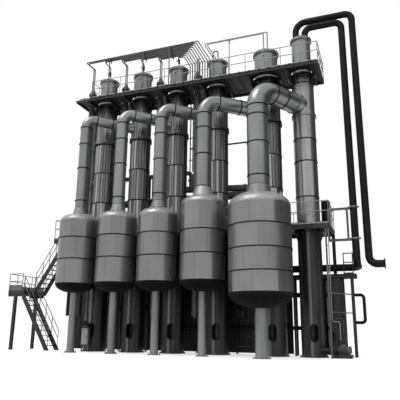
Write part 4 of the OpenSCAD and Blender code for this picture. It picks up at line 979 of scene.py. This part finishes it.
# %% [markdown]
# ## Valves and handwheels
# Pipes on such a plant are full of small valves. One gate valve is a barrel between two flanges,
# a bonnet, a stem and a wheel with four spokes. It is drawn once as a function with a direction for
# the stem, in shares of the pipe's radius. It is then set over the first heads and on the upright
# pipes below.

# %% Gate valves
LID_VALVE_R, LID_VALVE_Z = 0.036, DECK_Z + HEAD_RISE + 0.109 + 0.21 + 0.36
RISER_R, RISER_Y, RISER_VALVE_Z = 0.055, AXIS_Y + 1.28, MID_Z - 2.3 - 1.59
valves = Shape()


def handwheel(shape, centre, axis, r):
    axis, side, other = two_sides(axis)
    centre = Vector(centre)
    ring(shape, centre - axis * (0.07 * r), axis, 0.84 * r, r, 0.14 * r, 24, 0.03 * r)
    ring(shape, centre - axis * (0.1 * r), axis, 0.05 * r, 0.2 * r, 0.2 * r, 12)
    for a in [math.radians(45 + 90 * k) for k in range(4)]:
        spoke = (side * math.cos(a) + other * math.sin(a)) * (0.88 * r)
        tube(shape, centre, centre + spoke, 0.055 * r, 6)


def gate_valve(at, stem, r):
    at, stem = Vector(at), Vector(stem).normalized()
    tube(valves, at - UP * (3.2 * r), at + UP * (3.2 * r), 1.25 * r, 16)
    tube(valves, at - UP * (1.3 * r), at + UP * (1.3 * r), 1.7 * r, 16)
    for s in (-1, 1):
        flange = at + UP * (s * 3.0 * r - 0.25 * r)
        ring(valves, flange, UP, 0.9 * r, 2.2 * r, 0.5 * r, 20, 0.08 * r)
    tube(valves, at, at + stem * (2.9 * r), 1.05 * r, 14, 0.85 * r)
    ring(valves, at + stem * (2.6 * r), stem, 0.5 * r, 1.5 * r, 0.4 * r, 16, 0.06 * r)
    tube(valves, at + stem * (2.6 * r), at + stem * (5.4 * r), 0.28 * r, 8)
    handwheel(valves, at + stem * (4.7 * r), stem, 2.6 * r)


for c in columns[:3]:
    gate_valve(on_axis(c, LID_VALVE_Z), (-0.4, -0.9, 0), LID_VALVE_R)
for x in (col_x(0, 0.87), col_x(0, 1.12), col_x(1, 0.21)):
    gate_valve((x, RISER_Y, RISER_VALVE_Z), -BACK, RISER_R)
piece("gate_valves", valves, "dark_steel")

# %% [markdown]
# ## Pipes held down
# Nine small pipes cross the upper deck on three racks. A U-bolt over each pipe holds it to the
# rack's sloping bar. Its line is half a circle with two straight legs, swept into a thin tube.

# %% U-bolts on the racks
PIPE_R, BUNDLE_FRONT, BUNDLE_BACK, BUNDLE_DOWN, BUNDLE_RISE = 0.032, 0.90, 0.086, 0.055, 2.76
RACKS = [(col_x(0, 0.46), 3), (col_x(1, 0.40), 6), (col_x(2, -0.26), 8)]
U_REACH, U_R, U_LEG, NUT_DROP = PIPE_R + 0.006, 0.006, 0.075, 0.062
u_bolts = Shape()


def bundle_at(k):
    return AXIS_Y - BUNDLE_FRONT + k * BUNDLE_BACK, DECK_Z + BUNDLE_RISE - k * BUNDLE_DOWN


for x, count in RACKS:
    for y, z in [bundle_at(k) for k in range(count)]:
        turns = [math.radians(v) for v in range(0, 181, 20)]
        arc = [(x, y + U_REACH * math.cos(a), z + U_REACH * math.sin(a)) for a in turns]
        legs = [(x, y + s * U_REACH, z - U_LEG) for s in (1, -1)]
        bent_tube(u_bolts, legs[:1] + arc + legs[1:], U_R, 6)
        for s in (-1, 1):
            bolt(u_bolts, (x, y + s * U_REACH, z - NUT_DROP), -UP, 0.022, 0.02)
piece("rack_u_bolts", u_bolts, "bare_steel", BOLT, 30)

# %% [markdown]
# ## Clamps on the cooling pipe
# The near cooling pipe is tied to a light bracket at two heights. Each clamp is a flat band around
# the pipe with two ears and a bolt through them.

# %% Pipe clamps
COOL_R, COOL_X, CLAMP_H = COOL_D / 2, col_x(5, 2.23), 0.09
clamps = Shape()
for z in (MID_Z + 0.905, MID_Z - 0.68):
    ring(clamps, (COOL_X, AXIS_Y, z - CLAMP_H / 2), UP, COOL_R - 0.004, COOL_R + 0.012, CLAMP_H, 40,
         0.004)
    for s in (-1, 1):
        ear_x, bolt_x = COOL_X + s * (COOL_R + 0.045), COOL_X + s * (COOL_R + 0.055)
        slab(clamps, (ear_x, AXIS_Y, z), ALONG, UP, (0.045, CLAMP_H / 2, 0.014))
        bolt(clamps, (bolt_x, AXIS_Y - 0.013, z), -BACK, 0.036, 0.034)
piece("cooling_clamps", clamps, "bare_steel", BOLT, 30)

# %% [markdown]
# ## Control box and cabinet
# Enclosures get what every enclosure has: a door that stands proud, two hinges, a handle, and a
# rain hood over the top.

# %% Door, hood and hinges of the control box
door = Shape()
low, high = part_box("control_box")
mid_x, mid_y, mid_z = (low + high) / 2
front, hinge_x = low.y, low.x + 0.02
slab(door, (mid_x, front - 0.009, mid_z), ALONG, UP, (0.175, 0.395, 0.009))
slab(door, (mid_x, front - 0.02, high.z - 0.012), ALONG, BACK, (0.21, 0.04, 0.008))
for z in (low.z + 0.16, high.z - 0.16):
    tube(door, (hinge_x, front - 0.02, z - 0.035), (hinge_x, front - 0.02, z + 0.035), 0.009, 8)
piece("control_door", door, "box_paint", smooth=30, soften=0.003)

# %% [markdown]
# The handle, the cable glands under the box and the handwheel on its stand are dark. So are the two
# leaves of the cabinet on the deck, with their louvres.

# %% Handle, glands, wheel, leaves and louvres
WHEEL_Z, GLANDS, LOUVRES = 1.48, 3, 7
fittings = Shape()
handle_x = high.x - 0.06
tube(fittings, (handle_x, front - 0.018, mid_z), (handle_x, front - 0.045, mid_z), 0.016, 12)
slab(fittings, (handle_x, front - 0.045, mid_z - 0.03), UP, ALONG, (0.055, 0.011, 0.006))
for k in range(GLANDS):
    gland = (low.x + 0.1 + 0.1 * k, mid_y, low.z - 0.035)
    ring(fittings, gland, UP, 0.008, 0.02, 0.037, 10)
handwheel(fittings, (mid_x, mid_y - 0.10, WHEEL_Z), BACK, 0.15)
low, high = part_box("deck_cabinet")
middle, quarter, mid_z = (low.x + high.x) / 2, (high.x - low.x) / 4, (low.z + high.z) / 2
pull_z = 0.7 * low.z + 0.3 * high.z
for s in (-1, 1):
    leaf_x, pull_x = middle + s * quarter, middle + s * 0.03
    slab(fittings, (leaf_x, low.y - 0.007, mid_z), ALONG, UP, (quarter - 0.012, 0.72, 0.007))
    for k in range(LOUVRES):
        louvre = (leaf_x, low.y - 0.02, high.z - 0.25 - 0.035 * k)
        slab(fittings, louvre, ALONG, (0, 0.5, 0.85), (0.065, 0.014, 0.003))
    tube(fittings, (pull_x, low.y - 0.03, pull_z + 0.25), (pull_x, low.y - 0.03, pull_z + 0.45),
         0.009, 8)
piece("box_fittings", fittings, "dark_steel", STRAP, 30)

# %% [markdown]
# ## Pump motors
# An electric motor sheds its heat through fins along its barrel, has a fan cowl at the far end and
# a terminal box on its side. Fins that ring the barrel are quicker to draw than long ones and look
# the same from here.

# %% Motor fins, cowls and terminal boxes
MOTOR_R, MOTOR_Z, FINS, FIN_STEP, FIN_X = 0.15, 0.36, 13, 0.031, col_x(5, 1.19)
motors = Shape()
cowl_x, box_z = FIN_X + FIN_STEP * FINS, MOTOR_Z + MOTOR_R
for y in (AXIS_Y - 0.42, AXIS_Y + 0.25):
    for k in range(FINS):
        ring(motors, (FIN_X + FIN_STEP * k, y, MOTOR_Z), ALONG, MOTOR_R - 0.01, MOTOR_R + 0.018,
             0.010, 28)
    ring(motors, (cowl_x, y, MOTOR_Z), ALONG, MOTOR_R - 0.012, MOTOR_R + 0.022, 0.10, 28, 0.012)
    box(motors, (cowl_x - 0.30, y - 0.07, box_z - 0.01), (cowl_x - 0.14, y + 0.07, box_z + 0.09))
piece("motor_fins", motors, "deck_paint", smooth=30)

# %% [markdown]
# ## Thin light pipes at the condenser end
# Beside the corner post hangs a thin drain pipe. It comes down from the deck, steps sideways and
# ends above the ground. Brackets tie it to the post.

# %% Drain pipe on the corner post
DRAIN_R, DRAIN_END, post_x, post_y = 0.02, 0.82, col_x(5, 0.92), AXIS_Y - 0.87
DRAIN_LINE = [(0.12, MID_Z - 0.26), (0.09, 2.35), (0.09, 1.72), (0.13, 1.63), (0.36, 1.63),
              (0.42, 1.57), (0.42, DRAIN_END)]
drain = Shape()
bent_tube(drain, [(post_x + more, post_y, z) for more, z in DRAIN_LINE], DRAIN_R, 12)
for z in (5.2, 3.9, 2.6):
    slab(drain, (post_x + 0.07, post_y, z), ALONG, UP, (0.05, 0.02, 0.012))
ring(drain, (post_x + 0.42, post_y, DRAIN_END), UP, 0.012, 0.032, 0.03, 14, 0.004)
piece("drain_pipe", drain, "rail_paint")

# %% [markdown]
# ## Lifting lugs
# Every vessel was lifted into place by its lugs: a pair of flat plates with an eye, welded to the
# dome. The eye is a ring set on the plate's rounded end.

# %% Lugs on the domes and lids
LUG_SHARE, DOME_LUG, LID_LUG, LID_Z = 0.72, 0.10, 0.055, DECK_Z + HEAD_RISE + 0.069 + 0.10
lugs = Shape()


def lug_pair(shell, r, z, size):
    for side in (-1, 1):
        foot = on_axis(shell, z) + ALONG * (side * LUG_SHARE * r)
        half = (0.75 * size, 0.55 * size, 0.10 * size)
        slab(lugs, foot + UP * (0.25 * size), UP, ALONG, half)
        eye = foot + UP * (1.1 * size) + BACK * (0.11 * size)
        ring(lugs, eye, -BACK, 0.28 * size, 0.6 * size, 0.22 * size, 20, 0.03 * size)


for s in separators:
    z = s["z1"] + DISH_SHARE * s["r"] * math.sqrt(1 - LUG_SHARE ** 2)
    lug_pair(s, s["r"], z, DOME_LUG)
for c in columns[:5]:
    lug_pair(c, c["r"] - HEAD_STEP / 2, LID_Z, LID_LUG)
piece("lifting_lugs", lugs, "cladding", smooth=30)

# %% [markdown]
# ## The receiver's manhole
# The receiver at the condenser end has a bolted manhole cover. A small davit arm beside it would
# carry the cover's weight when it is opened.

# %% Manhole bolts and davit
MANHOLE_Z, DAVIT_R = 0.3 + 0.42 * DISH_SHARE + 0.9, 0.016
DAVIT = [(0.34, 0.06, -0.3), (0.34, 0.06, 0.38), (0.31, 0.06, 0.42), (0.1, 0.06, 0.42),
         (0.02, 0.03, 0.42), (0, 0.01, 0.30)]
tank_low, tank_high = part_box("receiver")
hatch = Shape()
hatch_at = Vector(((tank_low.x + tank_high.x) / 2, tank_low.y, MANHOLE_Z))
bolt_circle(hatch, hatch_at, -BACK, 0.262, 14, 0.03, 0.022)
bent_tube(hatch, [hatch_at + Vector(p) for p in DAVIT], DAVIT_R, 10)
piece("manhole_fittings", hatch, "bare_steel", BOLT, 30)

# %% [markdown]
# ## The fourth separator's upper course
# The fourth separator is a course of sheet taller than its three neighbours on the left. A course
# like this is a surface of revolution: a straight wall, an oval dome, and a cone that narrows to
# the duct. Its outline is a short list of radii and heights that is turned around the axis. The
# wall keeps the sheets of the separator below it, and the dome gets the same lighter grey as the
# others, a painted top light.

# %% Upper course on separator 4
COURSE_H, NECK_R, NECK_H, DOME_STEPS, COURSE_SIDES = 0.42, 0.57, 0.50, 14, 96
fourth, duct = separators[3], ducts[3]
wall_r, dome_h = fourth["r"] + 0.004, DISH_SHARE * fourth["r"]
course_top = fourth["z1"] + COURSE_H
outline = [(wall_r, fourth["z1"] - 0.03), (wall_r, course_top)]
for k in range(1, DOME_STEPS + 1):
    a = math.acos(NECK_R / wall_r) * k / DOME_STEPS
    outline.append((wall_r * math.cos(a), course_top + dome_h * math.sin(a)))
outline.append((duct["r"] + 0.012, outline[-1][1] + NECK_H))
course = Shape()
turned(course, on_axis(fourth, 0), UP, outline, COURSE_SIDES)
wall_sheets = nodes[SEPARATORS[3]].data.materials[0]
dome = piece("separator_4_upper_course", course, "cladding", wall_sheets, 40)
dome.data.materials.append(TOP_LIT_DOME)
for face in dome.data.polygons:
    face.material_index = int(face.center.z > course_top)
top_strap = Shape()
strap_r, strap_z = outline[-1]
ring(top_strap, on_axis(fourth, strap_z - 0.02), UP, strap_r - 0.004, strap_r + 0.02, 0.04, 80,
     0.006)
piece("upper_course_straps", top_strap, "dark_steel", STRAP)

# %% [markdown]
# ## Pipes behind the columns
# Between the columns the photograph shows more pipes that run along the back: a riser at the left
# end, a level pipe that leaves it, thin risers, a thin level line, and a vapour header above the
# main one. Each is a bent tube with rounded corners, and flanges make it read as a pipe.

# %% Rear pipes between the two decks
BACK_Y, CROSS_Z, HEADER_Z, HEADER_FALL = AXIS_Y + 1.0, 10.2, 9.2, 0.3
RISER_X, DROP_X, HEADER_FROM, HEADER_TO = (
    col_x(0, -1.48), col_x(2, 0.52), col_x(2, -0.1), col_x(4, 0.2))
REAR_R, CROSS_R, HEADER_R = 0.15, 0.135, 0.19
DECK_UNDER = deck_low.z + 0.005
rear = Shape()


def rounded(points, bend, steps=6):
    """Rounds the corners of a line: each becomes a short curve that starts at bend from it."""
    points = [Vector(p) for p in points]
    line = [points[0]]
    for before, corner, after in zip(points, points[1:], points[2:]):
        into, out_of = (before - corner).normalized(), (after - corner).normalized()
        for t in [k / steps for k in range(steps + 1)]:
            line.append(corner + into * (bend * (1 - t) ** 2) + out_of * (bend * t ** 2))
    return line + [points[-1]]


def pipe_flanges(shape, at, way, r):
    at, way = Vector(at), Vector(way).normalized()
    for s in (-1, 1):
        ring(shape, at + way * (0.018 * s - 0.014), way, r * 0.8, r + 0.055, 0.028, 28, 0.004)
    bolt_circle(shape, at + way * 0.03, way, r + 0.03, 10, 0.022, 0.02)


tube(rear, (RISER_X, BACK_Y, MID_Z), (RISER_X, BACK_Y, DECK_UNDER), REAR_R, 20)
cross_line = [(RISER_X, BACK_Y, CROSS_Z), (DROP_X, BACK_Y, CROSS_Z), (DROP_X, BACK_Y, HEADER_Z)]
bent_tube(rear, rounded(cross_line, 0.26), CROSS_R, 20)
header_line = [(HEADER_FROM, AXIS_Y + 0.58, HEADER_Z), (HEADER_FROM, BACK_Y, HEADER_Z),
               (HEADER_TO, BACK_Y, HEADER_Z - HEADER_FALL),
               (HEADER_TO, AXIS_Y + 0.70, HEADER_Z - HEADER_FALL)]
bent_tube(rear, rounded(header_line, 0.3), HEADER_R, 24)
for x, z, way, r in ((RISER_X, 9.85, UP, REAR_R), (RISER_X, 12.3, UP, REAR_R),
                     (col_x(0, 1.5), CROSS_Z, ALONG, CROSS_R),
                     (col_x(1, 1.2), CROSS_Z, ALONG, CROSS_R), (DROP_X, 9.72, UP, CROSS_R),
                     (col_x(3, 1.3), HEADER_Z - 0.215, (1, 0, -0.055), HEADER_R)):
    pipe_flanges(rear, (x, BACK_Y, z), way, r)
piece("rear_pipes", rear, "deck_paint", smooth=40)

# %% [markdown]
# The thin pipes go up beside them and are tied to each other by short flat bars.

# %% Thin rear pipes
LINE_Z, LINE_TO = 11.72, col_x(4, 0.1)
thin = Shape()
for x, low_z, high_z, r, sides in (
        (col_x(2, 0.43), CROSS_Z + 0.08, DECK_UNDER, 0.036, 12),
        (col_x(2, 0.60), CROSS_Z + 0.08, DECK_UNDER, 0.036, 12),
        (col_x(1, 0.22), MID_Z, CROSS_Z - 0.1, 0.07, 14),
        (col_x(1, 0.42), MID_Z, CROSS_Z - 0.1, 0.05, 14)):
    tube(thin, (x, BACK_Y, low_z), (x, BACK_Y, high_z), r, sides)
level_line = [(col_x(2, 0.43), BACK_Y, LINE_Z), (LINE_TO, BACK_Y, LINE_Z),
              (LINE_TO, AXIS_Y + 0.70, LINE_Z)]
bent_tube(thin, rounded(level_line, 0.15), 0.05, 14)
for z in (7.6, 8.8, 11.0, 12.4, 13.6):
    x = col_x(1, 0.32) if z < CROSS_Z else col_x(2, 0.515)
    slab(thin, (x, BACK_Y, z), ALONG, UP, (0.16, 0.025, 0.012))
piece("rear_thin_pipes", thin, "dark_steel", smooth=40)

# %% [markdown]
# ## The tray under the small pipes
# From below, the nine small pipes on the upper deck read as one band. They lie on a tray of folded
# sheet that widens as more pipes join it. A row of narrow slats, one between two pipes and as
# long as both run side by side, gives that stepped outline.

# %% Slats between the small pipes
SLAT_STARTS = [-1.15, 0.0, 1.15, 1.25, 2.4, 3.55, 3.65, 4.8]
FAN_X, FAN_STEP = col_x(2, 0.37), 0.142
TRAY = finish("pale_tray_sheet", 0.50, 0.30, 0.1, 0.5, 0.2, 0.3, 0.2, 0.002)
tray = Shape()
for k, more in enumerate(SLAT_STARTS):
    start, end = col_x(0, more) + 0.05, FAN_X + (7.5 - k) * FAN_STEP - 0.1
    y, z = bundle_at(k + 0.5)
    half = ((end - start) / 2, 0.046, 0.006)
    slab(tray, ((start + end) / 2, y, z - 0.012), ALONG, (0, BUNDLE_BACK, -BUNDLE_DOWN), half)
piece("bundle_tray", tray, "bare_steel", TRAY, 30)

# %% [markdown]
# ## A thin pipe along the deck's edge
# A light pipe is clipped to the front edge of the upper deck from end to end. Dark clips hold it at
# every step, and they make the edge look beaded from the ground.

# %% Edge pipe and clips
EDGE_R, CLIPS, CLIP_W = 0.030, 26, 0.06
edge, clips = Shape(), Shape()
edge_y, edge_z = deck_low.y - 0.012, DECK_Z + 0.045
tube(edge, (deck_low.x + 0.25, edge_y, edge_z), (deck_high.x - 0.1, edge_y, edge_z), EDGE_R, 12)
for k in range(CLIPS):
    x = deck_low.x + 0.6 + k * (deck_high.x - deck_low.x - 1.0) / (CLIPS - 1)
    ring(clips, (x - CLIP_W / 2, edge_y, edge_z), ALONG, EDGE_R - 0.004, EDGE_R + 0.016, CLIP_W, 16,
         0.004)
    slab(clips, (x, edge_y + 0.02, edge_z - 0.06), UP, ALONG, (0.06, CLIP_W / 2, 0.006))
piece("deck_edge_pipe", edge, "rail_paint")
piece("deck_edge_clips", clips, "dark_steel", STRAP)

# %% [markdown]
# ## On the rear wall
# Two small junction boxes hang on the rear wall between the fourth and fifth skirts, with a conduit
# that comes down beside them and runs back along the foot of the wall.

# %% Junction boxes and conduit
face_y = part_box("back_wall")[0].y + 0.004
pipe_y = face_y - 0.026
CONDUITS = [([(8.83, 1.96), (8.83, 0.39), (8.02, 0.39)], 0.028),
            ([(8.42, 0.41), (8.42, 0.90), (8.69, 0.92)], 0.02)]
small = Shape()
for x0, x1 in ((col_x(0, 7.86), col_x(0, 8.08)), (col_x(0, 8.20), col_x(0, 8.33))):
    box(small, (x0, face_y - 0.10, 1.84), (x1, face_y, 2.23))
    box(small, (x0 + 0.015, face_y - 0.115, 1.86), (x1 - 0.015, face_y - 0.095, 2.21))
for corners, r in CONDUITS:
    line = [(col_x(0, more), pipe_y, z) for more, z in corners]
    bent_tube(small, rounded(line, 0.1), r, 10)
box(small, (col_x(0, 7.87), face_y - 0.05, 1.70), (col_x(0, 8.83), face_y, 1.735))
piece("wall_boxes", small, "deck_paint", smooth=30)

# %% [markdown]
# At the condenser end a last corrugated sheet closes the bay behind the receiver. It is dark and
# stands in for the shade in that bay. Its wave is a line of corners, and each stretch between two
# corners is a thin upright slab.

# %% End sheet
SHEET_PITCH, SHEET_DEEP, SHEET_LOW, SHEET_HALF_T = 0.15, 0.04, 0.06, 0.003
WAVE = [(0, 0), (0.35, 0), (0.5, SHEET_DEEP), (0.85, SHEET_DEEP)]
sheet_y = tank_high.y + 0.06
half_h = (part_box("end_platform")[1].z - 0.04 - SHEET_LOW) / 2
sheet = Shape()
corners, x = [], col_x(5, 0.28)
while x < tank_high.x:
    corners += [(x + SHEET_PITCH * share, sheet_y + deep) for share, deep in WAVE]
    x += SHEET_PITCH
for (xa, ya), (xb, yb) in zip(corners, corners[1:]):
    way = Vector((xb - xa, yb - ya, 0))
    half = (way.length / 2 + SHEET_HALF_T, half_h, SHEET_HALF_T)
    slab(sheet, ((xa + xb) / 2, (ya + yb) / 2, SHEET_LOW + half_h), way, UP, half)
# Painted shade: a dark sheet that stands for the shade of the bay behind the receiver.
piece("end_shade_sheet", sheet, "dark_steel", smooth=20)

# %% [markdown]
# ## A post and a gooseneck
# The vent lines rest on a thin post between the fourth and fifth heads. A small gooseneck on the
# lid of the fourth head lets air out and keeps rain from falling in.

# %% Vent post and gooseneck
POST_X, POST_R, POST_TOP = col_x(0, 8.0), 0.028, DECK_Z + 2.95
vent = Shape()
tube(vent, (POST_X, AXIS_Y, DECK_Z), (POST_X, AXIS_Y, POST_TOP), POST_R, 12)
slab(vent, (POST_X, AXIS_Y, POST_TOP - 0.02), BACK, ALONG, (0.14, 0.03, 0.02))
ring(vent, (POST_X, AXIS_Y, DECK_Z), UP, POST_R - 0.004, 0.09, 0.016, 20, 0.003)
piece("vent_post", vent, "rail_paint")
GOOSE_FROM, GOOSE_TO, GOOSE_LOW, GOOSE_TOP = col_x(0, 6.99), col_x(0, 7.30), 16.88, 17.32
goose = Shape()
goose_line = [(GOOSE_FROM, AXIS_Y, GOOSE_LOW), (GOOSE_FROM, AXIS_Y, GOOSE_TOP),
              (GOOSE_TO, AXIS_Y, GOOSE_TOP), (GOOSE_TO, AXIS_Y, GOOSE_LOW)]
bent_tube(goose, rounded(goose_line, 0.12), 0.034, 14)
piece("head_gooseneck", goose, "dark_steel", smooth=40)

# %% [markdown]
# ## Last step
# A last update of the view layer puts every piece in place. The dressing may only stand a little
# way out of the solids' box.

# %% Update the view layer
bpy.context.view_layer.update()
